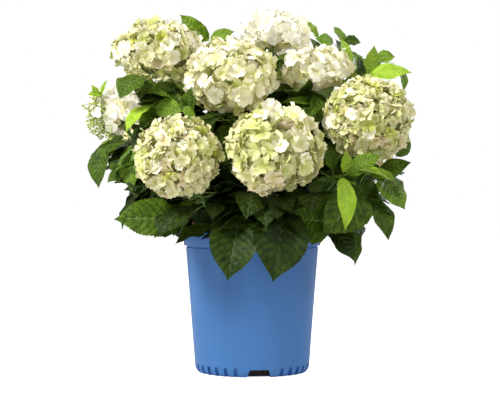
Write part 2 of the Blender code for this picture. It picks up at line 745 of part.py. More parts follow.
def build_mass(name, shoot, leaves, collection, material):
    """One foliage mass: stem, petioles, blades and flower head in one closed body."""
    axis = stem_axis(shoot)
    start = cane_tip(shoot) + axis * GAP
    end = Vector(shoot.head) + axis * STEM_TIP_RADIUS
    radii = (CANE_TIP_RADIUS, STEM_TIP_RADIUS)
    curve = limb_curve(start, axis, end, axis, radii, STEM_SEGMENTS)
    mass = add_object(f"foliage_{name}", mesh_of_curve(curve, name), collection, material)
    pieces = new_collection("mass_pieces")
    shapes = []
    if shoot.radius:
        shapes.append(head_ball(shoot, CORE_SHARE))
        shapes += [floret_bmesh(shoot, i) for i in range(FLORETS)]
    shapes += [leaf_bmesh(leaf) for leaf in leaves]
    for bm in shapes:
        add_object("mass_piece", mesh_from(bm, "mass_piece"), pieces)
    fuse(mass, pieces)
    return mass


def fuse(obj, pieces):
    """Join every object of a collection to one object, and remove the collection.

    The manifold solver keeps the mass closed; the exact one leaves open edges where
    several thin leaves cross the stem.
    """
    union = obj.modifiers.new("fuse", "BOOLEAN")
    union.operation = "UNION"
    union.operand_type = "COLLECTION"
    union.solver = "MANIFOLD"
    union.collection = pieces
    graph = bpy.context.evaluated_depsgraph_get()
    fused = bpy.data.meshes.new_from_object(obj.evaluated_get(graph))
    obj.modifiers.clear()
    fused.name = obj.data.name
    material = obj.data.materials[0]
    obj.data = fused
    obj.data.materials.clear()
    obj.data.materials.append(material)
    for piece in list(pieces.objects):
        bpy.data.objects.remove(piece, do_unlink=True)
    bpy.data.collections.remove(pieces)


def main():
    """Build the whole plant in its pot."""
    clear_scene()
    parts = new_collection(OBJECT_NAME)
    cutters = new_collection("cutters")
    blue = new_material("pot_blue", (0.075, 0.22, 0.56), 0.45)
    mix = new_material("potting_mix", (0.045, 0.030, 0.020), 0.95)
    wood = new_material("cane_wood", (0.20, 0.13, 0.075), 0.80)
    green = new_material("foliage_green", (0.085, 0.19, 0.035), 0.50)

    pot = build_pot(parts, cutters, blue)
    filling = build_mix(parts, mix)
    root_crown = build_root_crown(parts, wood)
    canes = build_canes(parts, root_crown, wood)
    plan = plan_leaves((pot, filling, root_crown), canes)
    for name, shoot in SHOOTS.items():
        build_mass(name, shoot, plan[name], parts, green)


main()
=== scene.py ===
"""The looks of a mophead hydrangea in its nursery pot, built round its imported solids.

Everything is in metres in the solids' own frame: the pot stands on the origin, +Z is up
and the front of the plant looks along -Y. The leaves, stems and flower heads grow by the
same seeded rule as the solids and are then carried finer, each within its own mass.
"""

import logging
import random
from dataclasses import dataclass, field
from enum import Enum
from functools import cache, partial
from math import atan2, cos, hypot, pi, radians, sin, sqrt, tau
from typing import Iterator, Sequence

import bmesh
import bpy
import numpy as np
from bpy.types import ID, Material, Node, NodeSocket, NodeTree, Object
from mathutils import Matrix, Vector
from mathutils.bvhtree import BVHTree


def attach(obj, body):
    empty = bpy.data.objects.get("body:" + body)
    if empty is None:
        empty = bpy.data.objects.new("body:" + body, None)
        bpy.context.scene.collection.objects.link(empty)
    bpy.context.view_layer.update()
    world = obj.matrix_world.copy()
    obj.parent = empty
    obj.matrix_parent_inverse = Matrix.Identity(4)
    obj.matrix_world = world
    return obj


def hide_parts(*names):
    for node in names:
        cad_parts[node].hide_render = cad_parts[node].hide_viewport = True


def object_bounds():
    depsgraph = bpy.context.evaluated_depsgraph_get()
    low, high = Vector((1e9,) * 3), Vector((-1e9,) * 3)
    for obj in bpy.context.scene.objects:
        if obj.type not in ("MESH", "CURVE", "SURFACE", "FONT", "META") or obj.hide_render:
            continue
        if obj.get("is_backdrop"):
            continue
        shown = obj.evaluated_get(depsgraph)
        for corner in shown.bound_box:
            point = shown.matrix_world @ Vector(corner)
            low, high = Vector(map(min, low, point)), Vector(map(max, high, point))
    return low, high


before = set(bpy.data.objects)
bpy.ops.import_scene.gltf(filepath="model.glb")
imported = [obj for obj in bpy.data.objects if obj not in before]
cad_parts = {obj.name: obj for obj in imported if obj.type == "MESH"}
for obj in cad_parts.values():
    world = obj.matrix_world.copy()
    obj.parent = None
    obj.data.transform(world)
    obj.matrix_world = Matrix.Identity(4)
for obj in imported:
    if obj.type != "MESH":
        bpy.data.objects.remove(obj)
SOLIDS_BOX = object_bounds()
LOG = logging.getLogger("potted_hydrangea")
UP = Vector((0.0, 0.0, 1.0))
Triple = tuple[float, float, float]
Range = tuple[float, float]
WHITE = (1.0, 1.0, 1.0, 1.0)


# ---------- named options

class LeafTone(Enum):
    """The greens that the leaves are dealt out in."""

    DEEP = "deep"
    GREEN = "green"
    FRESH = "fresh"
    LIME = "lime"


class PetalTone(Enum):
    """The creams and greens that the florets are dealt out in."""

    IVORY = "ivory"
    CREAM = "cream"
    CELERY = "celery"
    CHARTREUSE = "chartreuse"
    BLUSH = "blush"
    PEARL = "pearl"


class FloretPart(Enum):
    """The face groups of a floret, in the order of its material slots."""

    SEPAL = 0
    BUTTON = 1


# ---------- small geometry

def heading_vector(heading: float, pitch: float) -> Vector:
    """Unit vector at a heading from +X and a pitch over the horizontal, in radians."""
    flat = cos(pitch)
    return Vector((cos(heading) * flat, sin(heading) * flat, sin(pitch)))


def across(direction: Vector, guide: Vector) -> tuple[Vector, Vector]:
    """Two unit vectors square to a direction, the first one leaning to the guide."""
    side = (guide - direction * guide.dot(direction)).normalized()
    return side, direction.cross(side)


def aimed(start: Vector, direction: Vector) -> Matrix:
    """Matrix that puts the local origin at start and local +Z on the direction."""
    turn = direction.to_track_quat("Z", "Y").to_matrix().to_4x4()
    return Matrix.Translation(start) @ turn


def mesh_tree(obj: Object) -> BVHTree:
    """An object's faces as a search tree."""
    return BVHTree.FromPolygons([v.co for v in obj.data.vertices],
                                [p.vertices for p in obj.data.polygons])


def smooth_step(low: float, high: float, value: np.ndarray) -> np.ndarray:
    """Ease values from 0 at low to 1 at high."""
    share = np.clip((value - low) / (high - low), 0.0, 1.0)
    return share * share * (3.0 - 2.0 * share)


def unit(rows: np.ndarray) -> np.ndarray:
    """Each row's direction, at a length of 1."""
    return rows / np.linalg.norm(rows, axis=-1, keepdims=True)


def new_object(name: str, data: ID) -> Object:
    """A new object at the origin, in the scene."""
    obj = bpy.data.objects.new(name, data)
    bpy.context.scene.collection.objects.link(obj)
    return obj


class Bench:
    """The modelling bench: picks objects up and runs edit steps on them."""

    @staticmethod
    def put_down() -> None:
        """Leave edit mode with nothing selected."""
        active = bpy.context.active_object
        if active and active.mode != "OBJECT":
            bpy.ops.object.mode_set(mode="OBJECT")
        bpy.ops.object.select_all(action="DESELECT")

    @staticmethod
    def pick(obj: Object) -> None:
        """Make one object the only one selected, and active."""
        Bench.put_down()
        obj.select_set(True)
        bpy.context.view_layer.objects.active = obj

    @staticmethod
    def name_new(name: str) -> Object:
        """Name the primitive that was just added, and its mesh."""
        obj = bpy.context.active_object
        obj.name = obj.data.name = name
        return obj

    @staticmethod
    def settle(obj: Object) -> None:
        """Move an object's place, turn and scale into its mesh."""
        Bench.pick(obj)
        bpy.ops.object.transform_apply(location=True, rotation=True, scale=True)

    @staticmethod
    def smooth(obj: Object, degrees: float) -> None:
        """Shade an object smooth, with edges sharper than an angle kept crisp."""
        Bench.pick(obj)
        bpy.ops.object.shade_smooth_by_angle(angle=radians(degrees))

    @staticmethod
    def turn(name: str, profile: Sequence[Range], steps: int) -> Object:
        """Spin a profile round the upright axis into a closed body.

        Args:
            name: The new object's name.
            profile: Points of radius and height, from axis to axis.
            steps: How many steps the full turn takes.

        Returns:
            The turned object.
        """
        Bench.put_down()
        bpy.ops.mesh.primitive_circle_add(vertices=len(profile), radius=1.0)
        obj = Bench.name_new(name)
        for vert, (radius, height) in zip(obj.data.vertices, profile):
            vert.co = (radius, 0.0, height)
            vert.select = False
        bpy.ops.object.mode_set(mode="EDIT")
        bpy.ops.mesh.select_mode(type="EDGE")
        bpy.ops.object.mode_set(mode="OBJECT")
        for edge in obj.data.edges:
            edge.select = set(edge.vertices) == {0, len(profile) - 1}
        bpy.ops.object.mode_set(mode="EDIT")
        bpy.ops.mesh.delete(type="EDGE_FACE")
        bpy.ops.mesh.select_mode(type="VERT")
        bpy.ops.mesh.select_all(action="SELECT")
        bpy.ops.mesh.spin(steps=steps, angle=tau, center=(0, 0, 0), axis=(0, 0, 1))
        bpy.ops.mesh.select_all(action="SELECT")
        bpy.ops.mesh.remove_doubles(threshold=0.00005)
        bpy.ops.mesh.normals_make_consistent(inside=False)
        Bench.put_down()
        return obj


class Batch:
    """Many small shapes gathered as arrays and joined into one mesh."""

    def __init__(self) -> None:
        """Start with nothing gathered."""
        self.points: list[np.ndarray] = []
        self.faces: list[np.ndarray] = []
        self.slots: list[np.ndarray] = []
        self.marks: dict[str, list[np.ndarray]] = {}
        self.count = 0
        self.triangles = 0

    def add(self, points: np.ndarray, faces: np.ndarray, slots: np.ndarray | int = 0,
            **marks: np.ndarray | float) -> None:
        """Gather one shape.

        Args:
            points: Its points, one row each.
            faces: Its faces, four indices a row, the last repeated on a triangle.
            slots: The material slot of each face, or of all.
            marks: Named numbers for the materials, for each point or for all.
        """
        total = len(points)
        self.points.append(points)
        self.faces.append(faces + self.count)
        self.slots.append(np.broadcast_to(slots, len(faces)))
        for name, values in marks.items():
            self.marks.setdefault(name, []).append(np.broadcast_to(values, total))
        self.count += total
        self.triangles += len(faces) + int((faces[:, 2] != faces[:, 3]).sum())

    def build(self, name: str, *materials: Material, smooth: bool = True) -> Object:
        """Join what is gathered into a mesh object at the origin.

        Args:
            name: The object's name.
            materials: Its material slots.
            smooth: Whether its faces are shaded smooth.

        Returns:
            The new object.
        """
        points = np.concatenate(self.points).astype(np.float32)
        faces = np.concatenate(self.faces)
        four = faces[:, 2] != faces[:, 3]
        sizes = np.where(four, 4, 3)
        keep = np.ones(faces.shape, bool)
        keep[:, 3] = four
        mesh = bpy.data.meshes.new(name)
        mesh.vertices.add(len(points))
        mesh.vertices.foreach_set("co", points.ravel())
        mesh.loops.add(int(sizes.sum()))
        mesh.loops.foreach_set("vertex_index", faces[keep].astype(np.int32))
        mesh.polygons.add(len(faces))
        starts = np.concatenate(([0], np.cumsum(sizes)[:-1])).astype(np.int32)
        slots = np.concatenate(self.slots).astype(np.int32)
        for key, values in (("loop_start", starts), ("material_index", slots),
                            ("use_smooth", np.full(len(faces), smooth))):
            mesh.polygons.foreach_set(key, values)
        mesh.update(calc_edges=True)
        for key, values in self.marks.items():
            layer = mesh.attributes.new(key, "FLOAT", "POINT")
            layer.data.foreach_set("value", np.concatenate(values).astype(np.float32))
        mesh.validate()
        obj = new_object(name, mesh)
        for material in materials:
            mesh.materials.append(material)
        LOG.info("%s: %d triangles", name, self.triangles)
        return obj


class Batches:
    """Shapes of one kind, gathered into as many batches as their size needs."""

    most_triangles = 190_000

    def __init__(self) -> None:
        """Start with one empty batch."""
        self.full: list[Batch] = [Batch()]

    def add(self, *shape: np.ndarray, **marks: np.ndarray | float) -> None:
        """Gather one shape in the last batch, or in a new one when that is full."""
        if self.full[-1].triangles > self.most_triangles:
            self.full.append(Batch())
        self.full[-1].add(*shape, **marks)

    def build(self, name: str, *materials: Material) -> list[Object]:
        """Join each batch into an object, numbered from the second on."""
        return [batch.build(name + (f"_{index + 1}" if index else ""), *materials)
                for index, batch in enumerate(self.full) if batch.count]


def tube(path: np.ndarray, radii: np.ndarray, sides: int,
         swell: np.ndarray | float = 0.0) -> tuple[np.ndarray, np.ndarray]:
    """A round limb along a path, closed at both ends.

    Args:
        path: The points of its centre line.
        radii: Its radius at each point.
        sides: How many sides it has.
        swell: Shares that each ring's points are pushed out by, one row a ring.

    Returns:
        Its points and its faces.
    """
    rings = len(path)
    tangent = unit(np.gradient(path, axis=0))
    guide = np.array((0.31, 0.87, 0.38))
    side = unit(guide - tangent * (tangent @ guide)[:, None])
    above = np.cross(tangent, side)
    turn = np.arange(sides) * tau / sides
    ring = (side[:, None] * np.cos(turn)[None, :, None]
            + above[:, None] * np.sin(turn)[None, :, None])
    reach = np.broadcast_to(radii[:, None] * (1.0 + swell), (rings, sides))
    points = path[:, None] + ring * reach[..., None]
    points = np.concatenate((points.reshape(-1, 3), path[:1], path[-1:]))
    around = np.arange(sides)
    after = (around + 1) % sides
    low = np.arange(rings - 1)[:, None] * sides
    high = low + sides
    quads = np.stack((low + around, low + after, high + after, high + around), -1)
    last, foot = (rings - 1) * sides, np.full(sides, rings * sides)
    caps = (np.stack((after, around, foot, foot), -1),
            np.stack((last + around, last + after, foot + 1, foot + 1), -1))
    return points, np.concatenate((quads.reshape(-1, 4), *caps))


def eased_path(start: Vector, start_dir: Vector, end: Vector, end_dir: Vector,
               lift: float, steps: int) -> np.ndarray:
    """Points of a smooth curve between two places and directions.

    Args:
        start: Where it starts.
        start_dir: The unit direction it starts in.
        end: Where it ends.
        end_dir: The unit direction it ends in.
        lift: The handles' reach as a share of the span.
        steps: How many pieces it has.

    Returns:
        One row for each point.
    """
    reach = (end - start).length * lift
    corners = np.array([start, start + start_dir * reach, end - end_dir * reach, end])
    share = np.linspace(0.0, 1.0, steps + 1)[:, None]
    rest = 1.0 - share
    return (corners[0] * rest ** 3 + corners[1] * 3 * rest ** 2 * share
            + corners[2] * 3 * rest * share ** 2 + corners[3] * share ** 3)


# ---------- finishes

Inputs = dict[str | int, object]


def connect(tree: NodeTree, node: Node, inputs: Inputs) -> None:
    """Set or link the inputs of a node.

    Args:
        tree: The tree that the node is in.
        node: The node.
        inputs: The value of each input, or the socket to link to it.
    """
    for name, value in inputs.items():
        if isinstance(value, NodeSocket):
            tree.links.new(value, node.inputs[name])
        else:
            node.inputs[name].default_value = value


def add_node(tree: NodeTree, kind: str, inputs: Inputs, output: str | int = 0,
             **settings: object) -> NodeSocket:
    """Add a shader node.

    Args:
        tree: The nodes that it joins.
        kind: Its type, less the word that all of them start with.
        inputs: The value or the linked socket of each input.
        output: The output to give back.
        settings: Its other settings, made before its inputs.

    Returns:
        The output.
    """
    node = tree.nodes.new("ShaderNode" + kind)
    for name, value in settings.items():
        setattr(node, name, value)
    connect(tree, node, inputs)
    return node.outputs[output]


def start_group(name: str, inputs: dict[str, float],
                output: str) -> tuple[NodeTree, Node, NodeSocket]:
    """Start a shader group with number inputs and one number output.

    Args:
        name: The group's name.
        inputs: Its inputs' names and usual values.
        output: Its output's name.

    Returns:
        The group, its input node, and Object coordinates.
    """
    group = bpy.data.node_groups.new(name, "ShaderNodeTree")
    for label, value in inputs.items():
        socket = group.interface.new_socket(label, in_out="INPUT", socket_type="NodeSocketFloat")
        socket.default_value = value
    group.interface.new_socket(output, in_out="OUTPUT", socket_type="NodeSocketFloat")
    place = add_node(group, "TexCoord", {}, "Object")
    return (group, group.nodes.new("NodeGroupInput"),
            add_node(group, "Mapping", {"Vector": place}))


@cache
def uneven_colour() -> NodeTree:
    """Soft clouds, from 0 to 1, for uneven colour.

    Returns:
        The shader group, made once.
    """
    group, entry, place = start_group("uneven colour", {"Scale": 40.0, "Contrast": 1.0}, "Mask")
    noise = add_node(group, "TexNoise", {"Detail": 3.0, "Roughness": 0.55,
                                         "Vector": place,
                                         "Scale": entry.outputs["Scale"]})
    centre = add_node(group, "Math", {0: noise, 1: 0.5}, operation="SUBTRACT")
    spread = add_node(group, "Math", {0: centre, 1: entry.outputs["Contrast"], 2: 0.5},
                      operation="MULTIPLY_ADD", use_clamp=True)
    connect(group, group.nodes.new("NodeGroupOutput"), {"Mask": spread})
    return group


@cache
def fine_relief() -> NodeTree:
    """Fine cells and grain as one height, for bumps.

    Returns:
        The shader group, made once.
    """
    group, entry, place = start_group("fine relief", {
        "Cell Scale": 300.0, "Grain Scale": 900.0, "Grain Share": 0.4}, "Height")
    cells = add_node(group, "TexVoronoi", {
        "Smoothness": 0.6, "Vector": place, "Scale": entry.outputs["Cell Scale"]},
        feature="SMOOTH_F1")
    grain = add_node(group, "TexNoise", {"Detail": 2.0, "Vector": place,
                                         "Scale": entry.outputs["Grain Scale"]})
    mix = add_node(group, "Mix", {"Factor": entry.outputs["Grain Share"], "A": cells,
                                  "B": grain}, "Result", data_type="FLOAT")
    connect(group, group.nodes.new("NodeGroupOutput"), {"Height": mix})
    return group


def mixed(tree: NodeTree, mask: NodeSocket, first: NodeSocket | Triple,
          second: Triple) -> NodeSocket:
    """Mix a plain second colour into the first by a mask."""
    under = (*first, 1.0) if isinstance(first, tuple) else first
    return add_node(tree, "Mix", {"Factor": mask, "A": under, "B": (*second, 1.0)},
                    "Result", data_type="RGBA")


def ranged(tree: NodeTree, value: NodeSocket, before: Range, after: Range,
           eased: bool = False) -> NodeSocket:
    """Map a number from one range to another, with eased ends if asked."""
    limits = zip(("From Min", "From Max", "To Min", "To Max"), before + after)
    return add_node(tree, "MapRange", {"Value": value, **dict(limits)},
                    interpolation_type="SMOOTHSTEP" if eased else "LINEAR")


def mark(tree: NodeTree, name: str) -> NodeSocket:
    """A number that the mesh carries at its points."""
    return add_node(tree, "Attribute", {}, "Fac", attribute_name=name)


@dataclass(frozen=True)
class Finish:
    """A surface: two near colours that drift over it, gloss, a fine relief, and a painted glow."""

    name: str
    colour: Triple
    other: Triple
    roughness: Range = (0.5, 0.6)
    mottle_scale: float = 40.0
    contrast: float = 1.5
    cell_scale: float = 300.0
    grain_scale: float = 900.0
    grain_share: float = 0.4
    bump: float = 0.2
    depth: float = 0.0005
    specular: float = 0.5
    painted_glow: Triple = (0.0, 0.0, 0.0)   # painted glow: emitted light standing in for light that passes through

    def material(self) -> Material:
        """Make the material.

        Returns:
            The new material.
        """
        made = bpy.data.materials.new(self.name)
        made.use_nodes = True
        tree = made.node_tree
        mottle = add_node(tree, "Group", {
            "Scale": self.mottle_scale, "Contrast": self.contrast},
            node_tree=uneven_colour())
        relief = add_node(tree, "Group", {
            "Cell Scale": self.cell_scale, "Grain Scale": self.grain_scale,
            "Grain Share": self.grain_share}, node_tree=fine_relief())
        bump = add_node(tree, "Bump", {"Strength": self.bump, "Distance": self.depth,
                                       "Height": relief})
        drift = mixed(tree, self.masked(tree, mottle), self.colour, self.other)
        connect(tree, tree.nodes["Principled BSDF"], {
            "Base Color": self.toned(tree, drift),
            "Roughness": ranged(tree, mottle, (0.0, 1.0), self.roughness),
            "Normal": self.raised(tree, bump),
            "Specular IOR Level": self.specular,
            # painted glow: this emission adds light that no lamp gives
            "Emission Color": (*self.painted_glow, 1.0),
            "Emission Strength": 1.0})
        return made

    def masked(self, tree: NodeTree, mask: NodeSocket) -> NodeSocket:
        """The mask that drifts from the first colour to the other."""
        return mask

    def toned(self, tree: NodeTree, colour: NodeSocket) -> NodeSocket:
        """The colour as it reaches the shader."""
        return colour

    def raised(self, tree: NodeTree, normal: NodeSocket) -> NodeSocket:
        """The normal as it reaches the shader."""
        return normal


@dataclass(frozen=True)
class TintedFinish(Finish):
    """A finish whose brightness shifts a little from leaf to leaf or floret to floret, darker on
    florets deep in a head as painted shade.
    """

    spread: float = 0.4

    def toned(self, tree: NodeTree, colour: NodeSocket) -> NodeSocket:
        """Brighten or darken the colour by each leaf's or floret's own tint, which carries painted
        shade on the inner florets.
        """
        level = ranged(tree, mark(tree, "tint"), (0.0, 1.0),
                       (1.0 - self.spread / 2, 1.0 + self.spread / 2))
        return add_node(tree, "HueSaturation", {"Value": level, "Color": colour})


@dataclass(frozen=True)
class LeafFinish(TintedFinish):
    """A leaf: pale veins in grooves with painted shade along them, and a paler underside."""

    vein: Triple = (0.2, 0.3, 0.1)
    underside: Triple = (0.1, 0.2, 0.1)
    vein_range: Range = (0.75, 1.0)
    # painted shade: along the vein grooves the blade is darkened towards its first colour
    painted_shade_range: Range = (0.40, 0.86)
    painted_shade_share: float = 0.80
    groove_depth: float = 0.0014

    def toned(self, tree: NodeTree, colour: NodeSocket) -> NodeSocket:
        """Paint shade along the grooves, draw the veins, shift the brightness, turn the back
        paler.
        """
        # painted shade in the grooves beside the veins
        painted_shade_mask = ranged(tree, mark(tree, "vein"), self.painted_shade_range,
                         (0.0, self.painted_shade_share), True)
        veins = ranged(tree, mark(tree, "vein"), self.vein_range, (0.0, 1.0), True)
        blade = mixed(tree, painted_shade_mask, colour, self.colour)
        top = super().toned(tree, mixed(tree, veins, blade, self.vein))
        back = add_node(tree, "NewGeometry", {}, "Backfacing")
        return mixed(tree, back, top, self.underside)

    def raised(self, tree: NodeTree, normal: NodeSocket) -> NodeSocket:
        """Sink the veins between the blisters of the blade."""
        depth = ranged(tree, mark(tree, "vein"), (0.0, 1.0), (0.0, 1.0), True)
        return add_node(tree, "Bump", {
            "Strength": 0.8, "Distance": self.groove_depth, "Height": depth,
            "Normal": normal}, invert=True)


@dataclass(frozen=True)
class SepalFinish(TintedFinish):
    """A sepal: its second colour, at the heart, fades out towards its rim."""

    heart_reach: float = 0.75
    cloud_share: float = 0.45
    cloud_from: float = 0.12

    def masked(self, tree: NodeTree, mask: NodeSocket) -> NodeSocket:
        """Fade the mask out from the floret's heart, with the clouds over it."""
        fade = ranged(tree, mark(tree, "along"), (0.0, self.heart_reach), (1.0, 0.0), True)
        both = add_node(tree, "Math", {0: mask, 1: self.cloud_share, 2: fade},
                        operation="MULTIPLY_ADD")
        return add_node(tree, "Math", {0: both, 1: self.cloud_from},
                        operation="SUBTRACT", use_clamp=True)


BLADE_SURFACE = dict(roughness=(0.34, 0.50), mottle_scale=70.0, contrast=2.2,
                     cell_scale=260.0, grain_scale=1200.0, grain_share=0.25,
                     bump=0.8, depth=0.0020)
# The greener leaves carry a faint painted glow, an emission standing in for light passing through
# them.
LEAVES = {
    LeafTone.DEEP: LeafFinish(
        "leaf deep green", (0.007, 0.019, 0.001), (0.046, 0.087, 0.005),
        vein=(0.060, 0.095, 0.025), underside=(0.040, 0.068, 0.018), specular=0.17,
        **BLADE_SURFACE),
    LeafTone.GREEN: LeafFinish(
        "leaf green", (0.019, 0.045, 0.003), (0.105, 0.184, 0.010),
        vein=(0.150, 0.225, 0.050), underside=(0.090, 0.140, 0.032), specular=0.18,
        painted_glow=(0.003, 0.006, 0.0), **BLADE_SURFACE),
    LeafTone.FRESH: LeafFinish(
        "leaf fresh green", (0.062, 0.135, 0.005), (0.220, 0.370, 0.019),
        vein=(0.290, 0.410, 0.080), underside=(0.180, 0.260, 0.050), specular=0.24,
        painted_glow=(0.010, 0.018, 0.001), **BLADE_SURFACE),
    LeafTone.LIME: LeafFinish(
        "leaf lime green", (0.210, 0.370, 0.014), (0.420, 0.600, 0.040),
        vein=(0.500, 0.620, 0.120), underside=(0.340, 0.440, 0.075), specular=0.26,
        painted_glow=(0.025, 0.040, 0.003), **BLADE_SURFACE),
}
SEPAL_SURFACE = dict(roughness=(0.55, 0.65), mottle_scale=90.0, contrast=1.5,
                     cell_scale=500.0, grain_scale=1800.0, grain_share=0.5,
                     bump=0.15, depth=0.0004, specular=0.25)
# Each sepal finish carries a painted glow, an emission that lifts the shade between the florets,
# strongest on ivory and pearl.
SEPALS = {
    PetalTone.IVORY: SepalFinish(
        "sepal ivory", (0.930, 0.895, 0.745), (0.750, 0.740, 0.400),
        heart_reach=0.45, painted_glow=(0.115, 0.110, 0.078), **SEPAL_SURFACE),
    PetalTone.CREAM: SepalFinish(
        "sepal cream", (0.870, 0.825, 0.530), (0.640, 0.620, 0.220),
        heart_reach=0.65, painted_glow=(0.038, 0.036, 0.018), **SEPAL_SURFACE),
    PetalTone.CELERY: SepalFinish(
        "sepal celery", (0.760, 0.755, 0.390), (0.530, 0.550, 0.150),
        heart_reach=0.85, painted_glow=(0.020, 0.022, 0.007), **SEPAL_SURFACE),
    PetalTone.CHARTREUSE: SepalFinish(
        "sepal chartreuse", (0.680, 0.700, 0.200), (0.470, 0.500, 0.070),
        heart_reach=0.90, painted_glow=(0.010, 0.011, 0.002), **SEPAL_SURFACE),
    PetalTone.BLUSH: SepalFinish(
        "sepal blush", (0.830, 0.710, 0.490), (0.640, 0.550, 0.240),
        heart_reach=0.80, painted_glow=(0.020, 0.017, 0.010), **SEPAL_SURFACE),
    PetalTone.PEARL: SepalFinish(
        "sepal pearl", (0.940, 0.915, 0.825), (0.800, 0.785, 0.540),
        heart_reach=0.45, painted_glow=(0.195, 0.188, 0.160), **SEPAL_SURFACE),
}
BUTTON = Finish("floret button", (0.620, 0.610, 0.200), (0.520, 0.530, 0.140))
BUD = Finish("flower bud", (0.560, 0.620, 0.180), (0.440, 0.520, 0.120))
STALK = Finish("flower stalk", (0.400, 0.500, 0.160), (0.330, 0.440, 0.120))
STEM = Finish("green stem", (0.130, 0.250, 0.045), (0.200, 0.330, 0.070), (0.40, 0.55), 120.0, 2.0)
PETIOLE = Finish("leaf stalk", (0.250, 0.400, 0.080), (0.320, 0.470, 0.110),
                 (0.40, 0.50), 120.0, 1.5)
BARK = Finish("cane bark", (0.190, 0.120, 0.065), (0.300, 0.210, 0.130),
              (0.75, 0.90), 160.0, 2.4, 260.0, 1400.0, 0.5, 0.8, 0.0012, 0.3)
CROWN_BARK = Finish("root crown bark", (0.110, 0.070, 0.040), (0.220, 0.150, 0.090),
                    (0.80, 0.95), 110.0, 2.6, 220.0, 1200.0, 0.5, 0.9, 0.0016, 0.25)
# The pot carries a faint blue painted glow over its whole surface.
PLASTIC = Finish("blue moulded plastic", (0.045, 0.163, 0.385), (0.052, 0.176, 0.410),
                 (0.40, 0.47), 18.0, 1.2, 900.0, 2600.0, 0.6, 0.06, 0.0002, 0.45,
                 painted_glow=(0.003, 0.012, 0.060))
SOIL = Finish("potting mix", (0.014, 0.009, 0.006), (0.045, 0.030, 0.019),
              (0.85, 0.98), 140.0, 3.0, 340.0, 1600.0, 0.5, 1.0, 0.0022, 0.2)
BARK_CHIP = Finish("bark chip", (0.090, 0.052, 0.028), (0.170, 0.105, 0.060),
                   (0.75, 0.92), 200.0, 2.4, 500.0, 2000.0, 0.5, 0.8, 0.0008, 0.25)


# ---------- the growing rule

@dataclass(frozen=True)
class Shoot:
    """One cane and its mass: the centre of the flower head, or the top bud."""

    head: Triple
    radius: float = 0.0      # half the flower head's width, 0 on a leafy shoot
    rise: float = 0.0        # half its height
    stem: float = 0.17       # length of the green stem up to the head's centre
    pairs: int = 3
    leaf_scale: float = 1.0


@dataclass(frozen=True)
class Shown:
    """A leaf of the plant's front, listed one by one: where its blade starts and ends."""

    shoot: str
    base: Triple
    tip: Triple
    width: float
    lean: float              # degrees that its upper side leans out from straight up
    tone: LeafTone = LeafTone.GREEN


def leaves_of(shoot: str, *rows: Sequence[float | str]) -> list[Shown]:
    """Leaves of one shoot, listed one by one.

    Args:
        shoot: The shoot.
        rows: Each leaf's base, tip and width in millimetres, its lean in degrees,
            and its tone if that isn't the usual green.

    Returns:
        The leaves.
    """
    return [Shown(shoot, tuple(n / 1000 for n in row[:3]),
                  tuple(n / 1000 for n in row[3:6]), row[6] / 1000, row[7],
                  *map(LeafTone, row[8:])) for row in rows]


@dataclass
class Leaf:
    """A placed leaf: where its petiole leaves the stem, and how its blade lies."""

    root: Vector
    base: Vector
    along: Vector
    normal: Vector
    length: float
    width: float
    tone: LeafTone = LeafTone.GREEN
    near: bool = False       # whether it is listed, and so more finely made


@dataclass
class Twig:
    """A small side shoot: where it leaves its stem, where it ends, how thick."""

    root: Vector
    tip: Vector
    radius: float


SHOOTS = {
    "top_left": Shoot((-0.180, -0.020, 0.609), 0.086, 0.061, 0.20),
    "top_front": Shoot((-0.038, -0.110, 0.556), 0.087, 0.067, 0.20),
    "top_back": Shoot((0.043, 0.060, 0.654), 0.072, 0.043, 0.20),
    "top_right": Shoot((0.121, -0.035, 0.574), 0.067, 0.043, 0.19),
    "right": Shoot((0.213, -0.110, 0.480), 0.082, 0.076, 0.18),
    "front_left": Shoot((-0.134, -0.190, 0.406), 0.076, 0.075, 0.14),
    "front": Shoot((0.040, -0.205, 0.418), 0.088, 0.081, 0.14, pairs=2),
    "left": Shoot((-0.261, -0.060, 0.491), 0.056, 0.053, 0.17),
    "back_left": Shoot((-0.195, 0.165, 0.455), 0.076, 0.068, 0.17),
    "back": Shoot((-0.005, 0.215, 0.430), 0.084, 0.076, 0.16),
    "back_right": Shoot((0.208, 0.135, 0.440), 0.078, 0.070, 0.17),
    "upper_back_left": Shoot((-0.095, 0.120, 0.560), 0.078, 0.060, 0.19),
    "upper_back_right": Shoot((0.100, 0.155, 0.570), 0.074, 0.056, 0.19),
    "sprig_top_left": Shoot((-0.083, 0.020, 0.628), stem=0.13, pairs=2, leaf_scale=0.62),
    "sprig_top_right": Shoot((0.178, 0.030, 0.604), stem=0.13, pairs=3, leaf_scale=0.62),
    "sprig_right": Shoot((0.160, -0.165, 0.375), stem=0.11, pairs=2, leaf_scale=0.75),
    "skirt_front": Shoot((0.012, -0.150, 0.312), stem=0.07, pairs=2),
    "skirt_left": Shoot((-0.215, 0.035, 0.375), stem=0.11, pairs=3),
    "skirt_right": Shoot((0.205, -0.105, 0.345), stem=0.11, pairs=3),
    "skirt_far_right": Shoot((0.225, 0.045, 0.365), stem=0.11, pairs=3),
}

